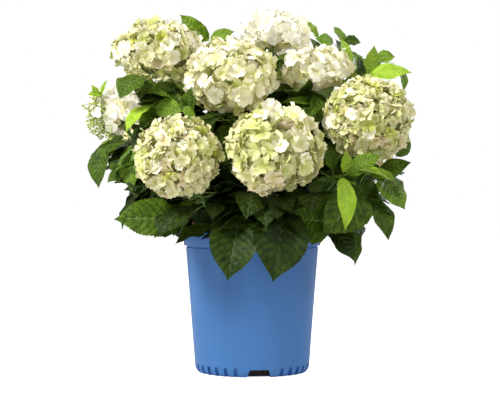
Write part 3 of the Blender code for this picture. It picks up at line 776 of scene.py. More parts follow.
SHOWN_LEAVES = (
    # The long blades that hang over the pot's rim.
    *leaves_of("skirt_front", (-22, -165, 300, -44, -205, 187, 86, 75, "deep"),
               (56, -165, 312, 38, -210, 186, 98, 78, "deep")),
    *leaves_of("skirt_right", (140, -145, 288, 61, -168, 293, 88, 70)),
    *leaves_of("front", (48, -140, 338, 95, -170, 316, 48, 62, "deep")),
    # Low on the left.
    *leaves_of("front_left", (-130, -160, 290, -247, -195, 295, 73, 72),
               (-113, -155, 329, -127, -170, 275, 32, 65),
               (-67, -145, 280, -139, -175, 250, 50, 25),
               (-145, -120, 285, -179, -140, 260, 38, 55, "deep")),
    # The left side.
    *leaves_of("left", (-272, -50, 435, -289, -80, 352, 50, 70),
               (-238, -82, 438, -269, -112, 411, 36, 50),
               (-224, -80, 376, -267, -110, 363, 44, 72),
               (-215, -100, 432, -221, -125, 345, 48, 75, "fresh")),
    *leaves_of("top_left", (-190, -95, 502, -232, -140, 455, 30, 55, "lime"),
               (-203, -100, 556, -242, -138, 514, 56, 70),
               (-178, -95, 500, -126, -115, 491, 38, 65, "fresh")),
    *leaves_of("top_front", (-114, -135, 486, -110, -165, 534, 28, 75)),
    # The young sprigs on top.
    *leaves_of("sprig_top_left", (-84, 35, 636, -139, 38, 686, 34, 80, "fresh"),
               (-80, 5, 632, -33, -15, 648, 28, 75, "fresh")),
    *leaves_of("sprig_top_right", (156, 30, 630, 122, 30, 640, 32, 62, "fresh"),
               (178, 30, 630, 157, 30, 662, 24, 60, "fresh"),
               (176, 34, 634, 210, 34, 630, 26, 62),
               (219, 12, 572, 234, 8, 624, 38, 68, "lime"),
               (240, 30, 598, 276, 28, 604, 32, 60, "fresh"),
               (223, 0, 564, 304, -10, 574, 36, 62, "lime"),
               (189, 2, 584, 167, 4, 638, 27, 64, "lime"),
               (211, 22, 580, 186, 22, 614, 32, 62, "fresh")),
    *leaves_of("top_right", (120, -94, 528, 110, -124, 450, 28, 70)),
    # Low on the right.
    *leaves_of("skirt_right", (226, -95, 372, 292, -120, 398, 46, 50),
               (234, -110, 366, 277, -140, 310, 52, 65, "fresh"),
               (221, -118, 330, 249, -145, 256, 46, 68),
               (200, -135, 350, 130, -175, 268, 86, 72),
               (143, -110, 283, 187, -135, 220, 46, 65, "deep"),
               (186, -100, 284, 190, -122, 208, 28, 65)),
    *leaves_of("sprig_right", (165, -170, 380, 169, -170, 420, 20, 60, "lime"),
               (171, -170, 377, 231, -180, 411, 34, 60, "fresh"),
               (161, -190, 369, 167, -220, 277, 36, 65, "lime")),
)
# Smaller leaves of the plant's front that the solids leave out.
FINER_LEAVES = (
    # The left side.
    *leaves_of("top_left", (-177, -100, 545, -205, -112, 522, 28, 62),
               (-152, -105, 519, -193, -110, 530, 18, 35, "fresh")),
    *leaves_of("top_front", (-122, -145, 502, -104, -150, 466, 18, 60, "fresh")),
    *leaves_of("left", (-232, -60, 418, -263, -100, 384, 38, 60, "deep")),
    *leaves_of("top_left", (-148, 10, 527, -222, -8, 512, 32, 66, "deep"),
               (-178, -100, 470, -222, -130, 425, 40, 68, "deep")),
    *leaves_of("top_front", (-70, -100, 432, -30, -105, 467, 32, 70)),
    *leaves_of("front_left", (-126, -130, 318, -190, -150, 322, 46, 60, "deep")),
    # The right side.
    *leaves_of("sprig_right", (146, -148, 386, 134, -154, 430, 26, 68)),
    *leaves_of("skirt_right", (214, -150, 378, 260, -162, 368, 26, 55, "fresh"),
               (213, -112, 369, 217, -118, 308, 36, 70)),
    *leaves_of("skirt_far_right", (271, -55, 410, 294, -60, 448, 32, 65)),
    *leaves_of("skirt_right", (245, -120, 372, 279, -142, 345, 30, 60)),
    # Round the top right sprig and under the top heads.
    *leaves_of("sprig_top_right", (127, 40, 642, 106, 38, 674, 18, 60, "lime"),
               (130, 28, 604, 112, 24, 640, 24, 60),
               (206, -12, 557, 202, -12, 602, 26, 72, "deep"),
               (180, 45, 600, 163, 42, 640, 26, 66),
               (281, 0, 578, 289, -6, 535, 26, 66, "fresh"),
               (222, 26, 566, 247, 26, 596, 30, 66, "lime")),
    *leaves_of("top_back", (38, -10, 572, 28, -12, 620, 34, 72, "deep")),
    *leaves_of("top_right", (111, -100, 508, 52, -105, 509, 26, 38, "fresh")),
    *leaves_of("top_front", (6, -75, 470, 50, -85, 492, 34, 70, "deep")),
    # Shaded ones that close the crown's inside.
    *leaves_of("top_left", (-150, 10, 500, -82, 16, 506, 36, 66, "deep")),
    *leaves_of("skirt_front", (12, -105, 304, -42, -112, 292, 34, 62, "deep")),
)
# Young bracts that stand out of the flower heads' florets.
BRACTS = (
    *leaves_of("left", (-279, -100, 523, -304, -106, 522, 14, 60, "lime"),
               (-279, -100, 523, -267, -106, 550, 14, 60, "lime"),
               (-281, -100, 521, -296, -104, 541, 12, 60, "lime")),
)


@dataclass
class GrowingRule:
    """The rule that the plant's canes, stems and leaves grow by."""

    gap: float = 0.0003
    mix_top: float = 0.246
    crown_radius: float = 0.031
    cane_base_radius: float = 0.0052
    cane_tip_radius: float = 0.0036
    cane_lift: float = 0.45
    inner_ring_lean: float = radians(31)
    outer_ring_lean: float = radians(67)
    inner_ring_seats: int = 6
    stem_tip_radius: float = 0.0024
    stem_uprightness: float = 0.08
    stem_aim_height: float = 0.20
    node_spacing: float = 0.042
    node_clear: float = 0.016
    bud_clear: float = 0.007
    foot_clear: float = 0.012
    root_step: float = 0.0016
    facing_back: float = 0.22
    leaf_length: float = 0.118
    leaf_width_ratio: float = 0.66
    leaf_thickness_ratio: float = 0.016
    leaf_stations: tuple = ((0.30, 1.0), (0.68, 0.74))
    leaf_arch: float = 0.09
    leaf_fold: float = 0.28
    petiole_length: float = 0.030
    petiole_radius: float = 0.0017
    petiole_rise: float = radians(22)
    pair_pitch: tuple = (-6, -24, -42)
    first_growth: float = 0.80
    growth_step: float = 0.12
    tries: int = 14
    try_slack: float = 1 / 3
    try_shrink: float = 0.97
    turn_stray: float = 12
    pitch_stray: float = 7
    roll_stray: float = 14
    length_stray: tuple = (0.9, 1.12)
    seed: int = 41
    head_clear_share: float = 1.03
    margin: float = 0.0005
    outline_centre: tuple = (-0.011, 0.0, 0.440)
    outline_reach: tuple = (0.308, 0.300, 0.252)
    outline_power: float = 2.6
    lowest_leaf: float = 0.185
    front_distance: float = 3.0
    front_height: float = 0.36
    # Where the crown is open, seen from the front: across, up, and how far round.
    open_air: tuple = ((-0.292, 0.360, 0.014), (-0.262, 0.318, 0.024),
                       (-0.275, 0.251, 0.020), (-0.215, 0.232, 0.036),
                       (0.150, 0.222, 0.014), (0.275, 0.235, 0.030))

    def stem_axis(self, shoot: Shoot) -> Vector:
        """Direction of a shoot's stem at its head."""
        away = (Vector(shoot.head) - UP * self.stem_aim_height).normalized()
        return away.lerp(UP, self.stem_uprightness).normalized()

    def on_stem(self, shoot: Shoot, down: float) -> Vector:
        """The place on a stem that lies this far below its head's centre."""
        return Vector(shoot.head) - self.stem_axis(shoot) * down

    def cane_tip(self, shoot: Shoot) -> Vector:
        """Where the woody cane ends and the green stem goes on."""
        return self.on_stem(shoot, shoot.stem)

    def bare_length(self, shoot: Shoot) -> float:
        """How far down the stem from the head's centre the first leaves grow."""
        return shoot.rise + self.node_clear if shoot.radius else self.bud_clear

    def crown_seats(self) -> dict[str, Vector]:
        """Seats for the canes on the root crown, in two rings.

        Returns:
            The direction from the crown's middle to each shoot's seat.
        """
        steepness = {name: self.stem_axis(shoot).z for name, shoot in SHOOTS.items()}
        ranked = sorted(SHOOTS, key=steepness.get, reverse=True)
        rings = ((ranked[:self.inner_ring_seats], self.inner_ring_lean),
                 (ranked[self.inner_ring_seats:], self.outer_ring_lean))
        seats = {}
        for names, lean in rings:
            heading = {name: atan2(SHOOTS[name].head[1], SHOOTS[name].head[0])
                       for name in names}
            ordered = sorted(names, key=heading.get)
            step = tau / len(ordered)
            start = sum(heading[name] - i * step for i, name in enumerate(ordered))
            start /= len(ordered)
            for i, name in enumerate(ordered):
                seats[name] = heading_vector(start + i * step, pi / 2 - lean)
        return seats

    def shown_leaf(self, shown: Shown, order: int, most: int) -> Leaf:
        """A leaf between the two ends set for it, rooted near its stem's closest point.

        Args:
            shown: The listed leaf.
            order: How many leaves its stem already has.
            most: The most listed leaves that any stem has.

        Returns:
            The placed leaf.
        """
        shoot = SHOOTS[shown.shoot]
        base = Vector(shown.base)
        reach = Vector(shown.tip) - base
        along = reach.normalized()
        heading = atan2(base.y - self.facing_back, base.x)
        face = heading_vector(heading, radians(90 - shown.lean))
        normal = across(along, face)[0]
        down = (Vector(shoot.head) - base).dot(self.stem_axis(shoot))
        lowest = shoot.stem - self.foot_clear - self.root_step * most
        down = min(max(down, self.bare_length(shoot)), lowest) + self.root_step * order
        return Leaf(self.on_stem(shoot, down), base, along, normal, reach.length,
                    shown.width, shown.tone, True)

    def place_leaf(self, root: Vector, heading: float, pitch: float, length: float,
                   roll: float, petiole: float) -> Leaf:
        """A leaf that leaves the stem at a heading and pitch, rolled on its midrib.

        Args:
            root: Where it leaves the stem.
            heading: The way it points, in radians from +X.
            pitch: Its pitch over the horizontal, in radians.
            length: Its blade's length.
            roll: Its turn on its midrib, in radians.
            petiole: Its stalk's length.

        Returns:
            The placed leaf.
        """
        stalk = heading_vector(heading, pitch + self.petiole_rise)
        along = heading_vector(heading, pitch)
        normal = heading_vector(heading, pitch + pi / 2)
        normal = Matrix.Rotation(roll, 3, along) @ normal
        return Leaf(root, root + stalk * petiole, along, normal, length,
                    length * self.leaf_width_ratio)

    def seeded_leaves(self, shoot: Shoot, luck: random.Random) -> Iterator[list[Leaf]]:
        """Crossed pairs of leaves down the stem, each as a list of lies to try.

        Args:
            shoot: The shoot that they grow on.
            luck: The shoot's own random numbers.

        Yields:
            The lies of one leaf, in the order they are tried.
        """
        heading = luck.uniform(0, tau)
        petiole = self.petiole_length * shoot.leaf_scale
        room = shoot.stem - self.foot_clear - self.bare_length(shoot)
        spacing = min(self.node_spacing, room / (shoot.pairs - 1))
        for index in range(shoot.pairs):
            down = self.bare_length(shoot) + spacing * index
            root = self.on_stem(shoot, down)
            growth = min(1.0, self.first_growth + self.growth_step * index)
            for half in (0, 1):
                lies = []
                for attempt in range(self.tries):
                    slack = 1 + attempt * self.try_slack
                    turn = heading + (index / 2 + half) * pi
                    stray = luck.uniform(-self.turn_stray, self.turn_stray) * slack
                    turn += radians(stray)
                    stray = luck.uniform(-self.pitch_stray, self.pitch_stray) * slack
                    pitch = radians(self.pair_pitch[index] + stray)
                    length = self.leaf_length * shoot.leaf_scale * growth
                    length *= luck.uniform(*self.length_stray)
                    length *= self.try_shrink ** attempt
                    roll = radians(luck.uniform(-self.roll_stray, self.roll_stray))
                    lies.append(self.place_leaf(root, turn, pitch, length, roll, petiole))
                yield lies

    def in_open_air(self, leaf: Leaf) -> bool:
        """Whether a leaf would close a place where the crown is open."""
        for share in (0.4, 0.7, 1.0):
            point = leaf.base + leaf.along * (leaf.length * share)
            near = self.front_distance / (self.front_distance + point.y)
            height = self.front_height + (point.z - self.front_height) * near
            if any(hypot(point.x * near - x, height - z) < reach
                   for x, z, reach in self.open_air):
                return True
        return False

    def inside_crown(self, leaf: Leaf, share: float = 1.0) -> bool:
        """Whether a leaf's tip stays in the crown.

        Args:
            leaf: The leaf.
            share: How much of the crown's rounded outline it may fill.

        Returns:
            Whether it does.
        """
        tip = leaf.base + leaf.along * leaf.length
        if tip.z < self.lowest_leaf or self.in_open_air(leaf):
            return False
        total = sum(abs((tip[i] - self.outline_centre[i])
                        / (self.outline_reach[i] * share)) ** self.outline_power
                    for i in range(3))
        return total <= 1.0

    def spindle(self, leaf: Leaf) -> BVHTree:
        """A leaf's simple closed form, grown by the margin.

        Args:
            leaf: The leaf.

        Returns:
            Its faces as a search tree.
        """
        side = leaf.normal.cross(leaf.along)
        stalk = (leaf.base - leaf.root).normalized()
        bend = (stalk + leaf.along).normalized()
        thick = leaf.length * self.leaf_thickness_ratio / 2 + self.margin
        petiole = self.petiole_radius + self.margin
        sections = [(leaf.root, stalk, petiole, petiole, 0.0),
                    (leaf.base, bend, petiole, petiole, 0.0)]
        for share, width_share in self.leaf_stations:
            bow = self.leaf_arch * leaf.length * 4 * share * (1 - share)
            middle = leaf.base + leaf.along * leaf.length * share + leaf.normal * bow
            half = leaf.width / 2 * width_share + self.margin
            sections.append((middle, leaf.along, half, thick, self.leaf_fold * half))
        points = [leaf.root - stalk * self.petiole_radius]
        for middle, direction, half, depth, fold in sections:
            out, above = across(direction, side)
            points += [middle - out * half + above * fold, middle + above * depth,
                       middle + out * half + above * fold, middle - above * depth]
        points.append(leaf.base + leaf.along * (leaf.length + self.margin))
        last = len(points) - 1
        faces = []
        for i in range(4):
            after = (i + 1) % 4
            faces.append((0, 1 + i, 1 + after))
            for ring in range(len(sections) - 1):
                low, high = 1 + ring * 4, 5 + ring * 4
                faces.append((low + i, low + after, high + after, high + i))
            faces.append((last - 4 + i, last - 4 + after, last))
        return BVHTree.FromPolygons(points, faces)


class Clearances:
    """The spaces already taken, each with its owner and whether that keeps out too."""

    def __init__(self, rule: GrowingRule) -> None:
        """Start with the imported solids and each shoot's stem and head."""
        self.rule = rule
        self.spaces: list[tuple[str, BVHTree, bool]] = [
            (name, mesh_tree(obj), False) for name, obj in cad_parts.items()
            if not name.startswith("foliage_")]
        for name, shoot in SHOOTS.items():
            self.spaces.append((name, self.stem_tree(shoot), False))
            if shoot.radius:
                self.spaces.append((name, self.head_tree(shoot), True))

    def stem_tree(self, shoot: Shoot) -> BVHTree:
        """A straight closed tube round a stem, as a search tree."""
        start, end = self.rule.cane_tip(shoot), Vector(shoot.head)
        bm = bmesh.new()
        bmesh.ops.create_cone(bm, cap_ends=True, segments=8,
                              radius1=self.rule.cane_tip_radius,
                              radius2=self.rule.cane_tip_radius,
                              depth=(end - start).length)
        bm.transform(aimed((start + end) / 2, (end - start).normalized()))
        return BVHTree.FromBMesh(bm)

    def head_tree(self, shoot: Shoot) -> BVHTree:
        """A flower head's rounded outline, a little larger, as a search tree."""
        bm = bmesh.new()
        bmesh.ops.create_icosphere(bm, subdivisions=2, radius=1.0)
        share = self.rule.head_clear_share
        size = (shoot.radius * share, shoot.radius * share, shoot.rise * share)
        bmesh.ops.scale(bm, vec=size, verts=bm.verts)
        bmesh.ops.translate(bm, vec=shoot.head, verts=bm.verts)
        return BVHTree.FromBMesh(bm)

    def take(self, owner: str, leaf: Leaf) -> bool:
        """Reserve a leaf's space if it is free.

        Args:
            owner: The shoot that it grows on.
            leaf: The leaf.

        Returns:
            Whether the space was free.
        """
        form = self.rule.spindle(leaf)
        free = not any((other != owner or kept_out) and space.overlap(form)
                       for other, space, kept_out in self.spaces)
        if free:
            self.spaces.append((owner, form, False))
        return free


@dataclass
class Plan:
    """Where every leaf and side twig of the plant lies."""

    rule: GrowingRule
    leaves: dict[str, list[Leaf]] = field(default_factory=lambda: {name: [] for name in SHOOTS})
    twigs: list[Twig] = field(default_factory=list)
    twigs_per_shoot: int = 5
    twig_length: Range = (0.022, 0.045)
    twig_rise: Range = (5, 35)
    twig_radius: float = 0.0015
    twig_fork: Range = (35, 75)   # degrees between a twig and its leaves
    twig_leaf_pitch: Range = (-45, 15)
    twig_leaf_length: Range = (0.050, 0.088)
    twig_leaf_roll: float = 20
    twig_petiole: float = 0.014
    collar_leaves: int = 5
    collar_stray: float = 0.3
    collar_drop: Range = (0.2, 0.5)
    collar_pitch: Range = (-22, 12)
    collar_length: Range = (0.045, 0.070)
    collar_roll: float = 25
    filler_leaves: int = 18
    filler_share: float = 0.86
    filler_length: Range = (0.065, 0.105)
    filler_pitch: Range = (-65, 30)
    filler_roll: float = 30
    finer_seed: int = 700
    airy: tuple = ("sprig_top_left",)   # shoots with nothing between their leaves

    def grow(self) -> None:
        """Place the listed leaves, the seeded ones, and then the finer growth."""
        rule = self.rule
        self.taken = Clearances(rule)
        most = max(sum(shown.shoot == name for shown in SHOWN_LEAVES) for name in SHOOTS)
        self.set_by_hand(SHOWN_LEAVES, most)
        for index, (name, shoot) in enumerate(SHOOTS.items()):
            luck = random.Random(rule.seed + index)
            for lies in rule.seeded_leaves(shoot, luck):
                self.try_lies(name, lies)
        LOG.info("leaves of the rule: %d", sum(map(len, self.leaves.values())))
        self.set_by_hand(FINER_LEAVES, most)
        for shown in BRACTS:
            self.leaves[shown.shoot].append(rule.shown_leaf(shown, 0, most))
        for index, name in enumerate(SHOOTS):
            luck = random.Random(self.finer_seed + index)
            self.grow_collar(name, luck)
            self.grow_twigs(name, luck)
            self.grow_filler(name, luck)
        LOG.info("leaves in all: %d", sum(map(len, self.leaves.values())))

    def set_by_hand(self, table: Sequence[Shown], most: int) -> None:
        """Place the leaves of a table.

        Args:
            table: The listed leaves.
            most: The most of them that any stem has.
        """
        for shown in table:
            group = self.leaves[shown.shoot]
            leaf = self.rule.shown_leaf(shown, min(len(group), most), most)
            if self.taken.take(shown.shoot, leaf):
                group.append(leaf)
            else:
                LOG.info("no room for the leaf of %s at %s", shown.shoot, shown.base)

    def try_lies(self, name: str, lies: Sequence[Leaf], share: float = 1.0) -> bool:
        """Keep the first lie that is inside the crown and free.

        Args:
            name: The shoot.
            lies: The lies in turn.
            share: How much of the crown's outline it may fill.

        Returns:
            Whether one was kept.
        """
        for leaf in lies:
            if self.rule.inside_crown(leaf, share) and self.taken.take(name, leaf):
                leaf.tone = self.tone_of(leaf, "sprig" in name)
                self.leaves[name].append(leaf)
                return True
        return False

    def tone_of(self, leaf: Leaf, on_sprig: bool) -> LeafTone:
        """The green of a seeded leaf: fresher if it is high, small, outside or young, and darker
        low at the front as painted shade under the front heads.

        Args:
            leaf: The leaf.
            on_sprig: Whether it grows on a young sprig.

        Returns:
            Its green.
        """
        tip = leaf.base + leaf.along * leaf.length
        score = (tip.z - 0.42) * 2.6 + (hypot(tip.x, tip.y) - 0.20) * 4.0
        score += 0.40 * on_sprig - (leaf.length - 0.08) * 8.0
        # painted shade: leaves low at the front, under the front heads, are dealt darker greens
        score -= 0.70 * (tip.z < 0.37 and abs(tip.x) < 0.12)
        score += 0.35 * sin(tip.x * 91.0 + tip.y * 57.0 + tip.z * 73.0)
        if score > 1.10:
            return LeafTone.LIME
        if score > 0.62:
            return LeafTone.FRESH
        return LeafTone.GREEN if score > 0.02 else LeafTone.DEEP

    def lie(self, luck: random.Random, root: Vector, heading: float, pitches: Range,
            lengths: Range, roll: float, petiole: float) -> Leaf:
        """A leaf whose pitch, length and roll are drawn.

        Args:
            luck: The shoot's random numbers.
            root: Where the leaf leaves its stem.
            heading: The way it points.
            pitches: The range of its pitch, in degrees.
            lengths: The range of its length.
            roll: The most that it rolls either way, in degrees.
            petiole: Its stalk's length.

        Returns:
            The leaf.
        """
        pitch = radians(luck.uniform(*pitches))
        length = luck.uniform(*lengths)
        return self.rule.place_leaf(root, heading, pitch, length,
                                    radians(luck.uniform(-roll, roll)), petiole)

    def grow_collar(self, name: str, luck: random.Random) -> None:
        """Grow small young leaves just under a flower head.

        Args:
            name: The shoot.
            luck: Its random numbers.
        """
        rule, shoot = self.rule, SHOOTS[name]
        for index in range(self.collar_leaves if shoot.radius else 0):
            down = rule.bare_length(shoot) - rule.node_clear * luck.uniform(*self.collar_drop)
            root = rule.on_stem(shoot, down)
            lies = []
            for _ in range(rule.tries):
                place = index + luck.uniform(-self.collar_stray, self.collar_stray)
                lies.append(self.lie(luck, root, place * tau / self.collar_leaves,
                                     self.collar_pitch, self.collar_length,
                                     self.collar_roll, rule.petiole_length * 0.8))
            self.try_lies(name, lies)

    def grow_twigs(self, name: str, luck: random.Random) -> None:
        """Grow side twigs between the pairs, each with a pair of smaller leaves.

        Args:
            name: The shoot.
            luck: Its random numbers.
        """
        rule, shoot = self.rule, SHOOTS[name]
        room = shoot.stem - rule.foot_clear - rule.bare_length(shoot)
        sizes = tuple(length * shoot.leaf_scale for length in self.twig_leaf_length)
        for index in range(self.twigs_per_shoot):
            down = rule.bare_length(shoot) + room * (index + 0.5) / self.twigs_per_shoot
            root = rule.on_stem(shoot, down)
            turn = luck.uniform(0, tau)
            length = luck.uniform(*self.twig_length)
            rise = radians(luck.uniform(*self.twig_rise))
            tip = root + heading_vector(turn, rise) * length
            grown = 0
            for half in (-1, 1):
                lies = []
                for _ in range(rule.tries):
                    heading = turn + half * radians(luck.uniform(*self.twig_fork))
                    lies.append(self.lie(luck, tip, heading, self.twig_leaf_pitch, sizes,
                                         self.twig_leaf_roll, self.twig_petiole))
                grown += self.try_lies(name, lies)
            if grown:
                self.twigs.append(Twig(root, tip, self.twig_radius))

    def grow_filler(self, name: str, luck: random.Random) -> None:
        """Grow shaded leaves that fill the room left inside the crown.

        Args:
            name: The shoot.
            luck: Its random numbers.
        """
        rule, shoot = self.rule, SHOOTS[name]
        reach = shoot.stem - rule.bare_length(shoot)
        for _ in range(0 if name in self.airy else self.filler_leaves):
            lies = []
            for _ in range(rule.tries):
                down = rule.bare_length(shoot) + reach * luck.uniform(0.05, 1.0)
                lies.append(self.lie(luck, rule.on_stem(shoot, down),
                                     luck.uniform(0, tau), self.filler_pitch,
                                     self.filler_length, self.filler_roll,
                                     rule.petiole_length))
            self.try_lies(name, lies, self.filler_share)


# ---------- leaves

@dataclass
class LeafForm:
    """One leaf's form, laid out once and bent to fit each placed leaf."""

    veins: int = 7
    first_vein: float = 0.05
    last_vein: float = 0.80
    end_rows: tuple = (0.32, 0.66)   # shares of the way from the last vein to the tip
    columns: tuple = (-1.0, -0.56, -0.09, 0.0, 0.09, 0.56, 1.0)
    side_vein: float = 0.93  # how strong the side veins are beside the midrib
    vein_fade: float = 0.26
    sweep: float = 0.32
    tooth: float = 0.045
    quilt: float = 0.011     # height of the blisters between the veins per length
    outline_at: tuple = (0.0, 0.04, 0.10, 0.20, 0.32, 0.45, 0.58, 0.69, 0.79, 0.86,
                         0.92, 0.96, 1.0)
    outline: tuple = (0.14, 0.42, 0.66, 0.87, 0.98, 1.0, 0.94, 0.80, 0.58, 0.37, 0.18, 0.08, 0.0)

    def rows(self) -> tuple[np.ndarray, np.ndarray]:
        """The rows of points across the blade: one on each vein, one between.

        Returns:
            Each row's place on the midrib, and 1 on a vein or 0 between.
        """
        share = np.linspace(0.0, 1.0, self.veins) ** 0.96
        on_vein = self.first_vein + (self.last_vein - self.first_vein) * share
        between = (on_vein[:-1] + on_vein[1:]) / 2
        end = self.last_vein + (1 - self.last_vein) * np.array(self.end_rows)
        at = np.concatenate(([0.0], on_vein, between, end))
        vein = np.concatenate(([0.0], np.ones(self.veins), np.zeros(len(between) + len(end))))
        order = np.argsort(at)
        return at[order], vein[order]

    def lay_out(self) -> None:
        """Lay out the points' places on the blade, and the faces."""
        at, on_vein = self.rows()
        column = np.array(self.columns)
        rows, columns = len(at), len(column)
        t, v = np.meshgrid(at, column, indexing="ij")
        vein = on_vein[:, None] * (self.side_vein - self.vein_fade * np.abs(v))
        vein = np.where(v == 0.0, 1.0, vein)
        puff = np.repeat(1.0 - on_vein, columns)
        tip = rows * columns
        grid = np.arange(tip).reshape(rows, columns)
        faces = [np.stack((grid[:-1, :-1], grid[:-1, 1:], grid[1:, 1:],
                           grid[1:, :-1]), -1).reshape(-1, 4)]
        ends = np.full(columns - 1, tip)
        faces.append(np.stack((grid[-1, :-1], grid[-1, 1:], ends, ends), -1))
        low, high = at[:-1], at[1:]
        out = low + (high - low) * 0.9
        left = tip + 1 + np.arange(rows - 1)
        right = left + rows - 1
        faces.append(np.stack((grid[:-1, 0], grid[1:, 0], left, left), -1))
        faces.append(np.stack((grid[:-1, -1], right, grid[1:, -1], grid[1:, -1]), -1))
        zeros, ones = np.zeros(rows - 1), np.ones(rows - 1)
        self.t = np.concatenate((t.ravel(), [1.0], out, out))
        self.v = np.concatenate((v.ravel(), [0.0], -ones, ones))
        self.puff = np.concatenate((puff, [0.0], zeros, zeros))
        self.vein = np.concatenate((vein.ravel(), [1.0], zeros, zeros))
        self.teeth = np.concatenate((np.zeros(tip + 1), ones, ones))
        self.faces = np.concatenate(faces)

    def bend(self, leaves: Sequence[Leaf], luck: np.random.Generator) -> np.ndarray:
        """Bend the laid-out form to each leaf.

        Args:
            leaves: The placed leaves.
            luck: Random numbers for each leaf's own curl.

        Returns:
            The points, one block for each leaf.
        """
        each = partial(luck.uniform, size=(len(leaves), 1))
        t, v, size = self.t, self.v, np.abs(self.v)
        ease = smooth_step(0.0, 0.20, t) * (1.0 - t) ** 0.6
        u = t + self.sweep * ease * size ** 1.3
        wide = np.interp(u, self.outline_at, self.outline)
        reach = v * (wide + self.teeth * self.tooth * (0.3 + wide))
        length = np.array([leaf.length for leaf in leaves])[:, None]
        half = np.array([leaf.width for leaf in leaves])[:, None] / 2

        rise = each(0.05, 0.12) * length * 4 * u * (1 - u)
        rise = rise - each(-0.03, 0.09) * length * u ** 3
        lift = each(0.08, 0.36) * half * np.sqrt(size ** 2 + 0.004) * wide
        lift = lift - each(-0.05, 0.20) * half * size ** 3 * wide
        wave = each(1.6, 3.2) * tau * u + each(0.0, tau) + (v > 0) * 1.9
        lift = lift + each(0.01, 0.05) * length * size ** 2 * wide * np.sin(wave)
        blister = self.puff * (1 - 0.6 * size ** 4) * smooth_step(0.0, 0.35, size)
        lift = lift + each(0.7, 1.3) * self.quilt * length * blister
        turn = each(-0.30, 0.30) * (u - 0.15)
        side = reach * half * np.cos(turn) - lift * np.sin(turn)
        above = rise + reach * half * np.sin(turn) + lift * np.cos(turn)
        base = np.array([leaf.base for leaf in leaves])[:, None]
        along = np.array([leaf.along for leaf in leaves])[:, None]
        normal = np.array([leaf.normal for leaf in leaves])[:, None]
        out = np.cross(along, normal)
        return (base + along * (length * u)[..., None] + out * side[..., None]
                + normal * above[..., None])


@dataclass
class Foliage:
    """All the leaves, joined by their green."""

    plan: Plan
    near_form: LeafForm = field(default_factory=LeafForm)
    plain_form: LeafForm = field(default_factory=lambda: LeafForm(
        veins=5, end_rows=(0.5,), columns=(-1.0, -0.5, 0.0, 0.5, 1.0)))
    seed: int = 11

    def build(self) -> list[Object]:
        """Build the leaves.

        Returns:
            One object for each green, and more where one would be too large.
        """
        luck = np.random.default_rng(self.seed)
        for form in (self.near_form, self.plain_form):
            form.lay_out()
        pieces = []
        for tone in LeafTone:
            batches = Batches()
            for form, near in ((self.near_form, True), (self.plain_form, False)):
                leaves = [leaf for group in self.plan.leaves.values()
                          for leaf in group if leaf.tone is tone and leaf.near is near]
                for block in form.bend(leaves, luck) if leaves else ():
                    batches.add(block, form.faces, vein=form.vein, tint=luck.uniform(0.0, 1.0))
            pieces += batches.build(f"leaves_{tone.value}", LEAVES[tone].material())
        return pieces


# ---------- flower heads

@dataclass(frozen=True)
class Tint:
    """A patch of a flower head whose florets take one tone."""

    tone: PetalTone
    towards: Triple
    spread: float            # the patch's reach in degrees


@dataclass(frozen=True)
class Bloom:
    """How one flower head is made up."""

    shares: tuple[float, float, float, float, float]  # of the first five tones
    patches: tuple[Tint, ...] = ()
    floret_radius: float = 0.0155
    tilt: float = 0.34       # how far the florets stray from facing straight out
    bud_side: Triple | None = None  # where it is still in bud
    gaps: tuple[tuple[float, float, float, float], ...] = ()  # direction, degrees


USUAL = (0.32, 0.42, 0.22, 0.03, 0.01)
# The blush patches all face downwards: partly the florets' own blush, partly painted shade on the
# heads' lower sides.
BLOOMS = {
    "top_left": Bloom((0.42, 0.34, 0.19, 0.04, 0.01),
                      (Tint(PetalTone.CHARTREUSE, (0.42, -0.6, 0.75), 20),), 0.0148,
                      0.40, gaps=((0.78, -0.35, -0.60, 30), (-0.2, -0.6, -0.9, 14))),
    "top_front": Bloom((0.50, 0.38, 0.11, 0.01, 0.0),
                       (Tint(PetalTone.CHARTREUSE, (0.35, -0.7, 0.45), 12),
                        Tint(PetalTone.BLUSH, (0.75, -0.5, -0.45), 18)), 0.0155),
    "top_back": Bloom((0.97, 0.03, 0.0, 0.0, 0.0),
                      (Tint(PetalTone.CREAM, (0.18, -0.6, 0.75), 14),), 0.0175, 0.25,
                      gaps=((0.0, -0.4, -0.9, 26),)),
    "top_right": Bloom((0.82, 0.17, 0.01, 0.0, 0.0),
                       (Tint(PetalTone.CELERY, (0.2, -0.9, 0.1), 14),), 0.0165, 0.28,
                       gaps=((-0.72, -0.35, -0.60, 26), (0.75, -0.4, -0.5, 18))),
    "right": Bloom((0.16, 0.42, 0.36, 0.03, 0.03),
                   (Tint(PetalTone.CHARTREUSE, (-0.75, -0.65, 0.15), 14),
                    Tint(PetalTone.CHARTREUSE, (0.1, -0.5, 0.85), 14),
                    Tint(PetalTone.BLUSH, (0.3, -0.6, -0.75), 18)), 0.0122, 0.42),
    "front_left": Bloom((0.11, 0.46, 0.28, 0.02, 0.13),
                        (Tint(PetalTone.BLUSH, (0.40, -0.75, -0.50), 24),
                         Tint(PetalTone.CHARTREUSE, (0.60, -0.4, 0.65), 14)),
                        0.0118, 0.42),
    "front": Bloom((0.12, 0.49, 0.30, 0.02, 0.07),
                   (Tint(PetalTone.CELERY, (-0.35, -0.7, 0.6), 26),
                    Tint(PetalTone.BLUSH, (0.1, -0.6, -0.75), 20)), 0.0168,
                   gaps=((0.70, -0.35, -0.62, 24), (-0.72, -0.3, 0.62, 12))),
    "left": Bloom((0.96, 0.04, 0.0, 0.0, 0.0), (), 0.0150, 0.30,
                  (-0.80, 0.10, -0.45), ((0.66, -0.35, -0.66, 44),)),
}


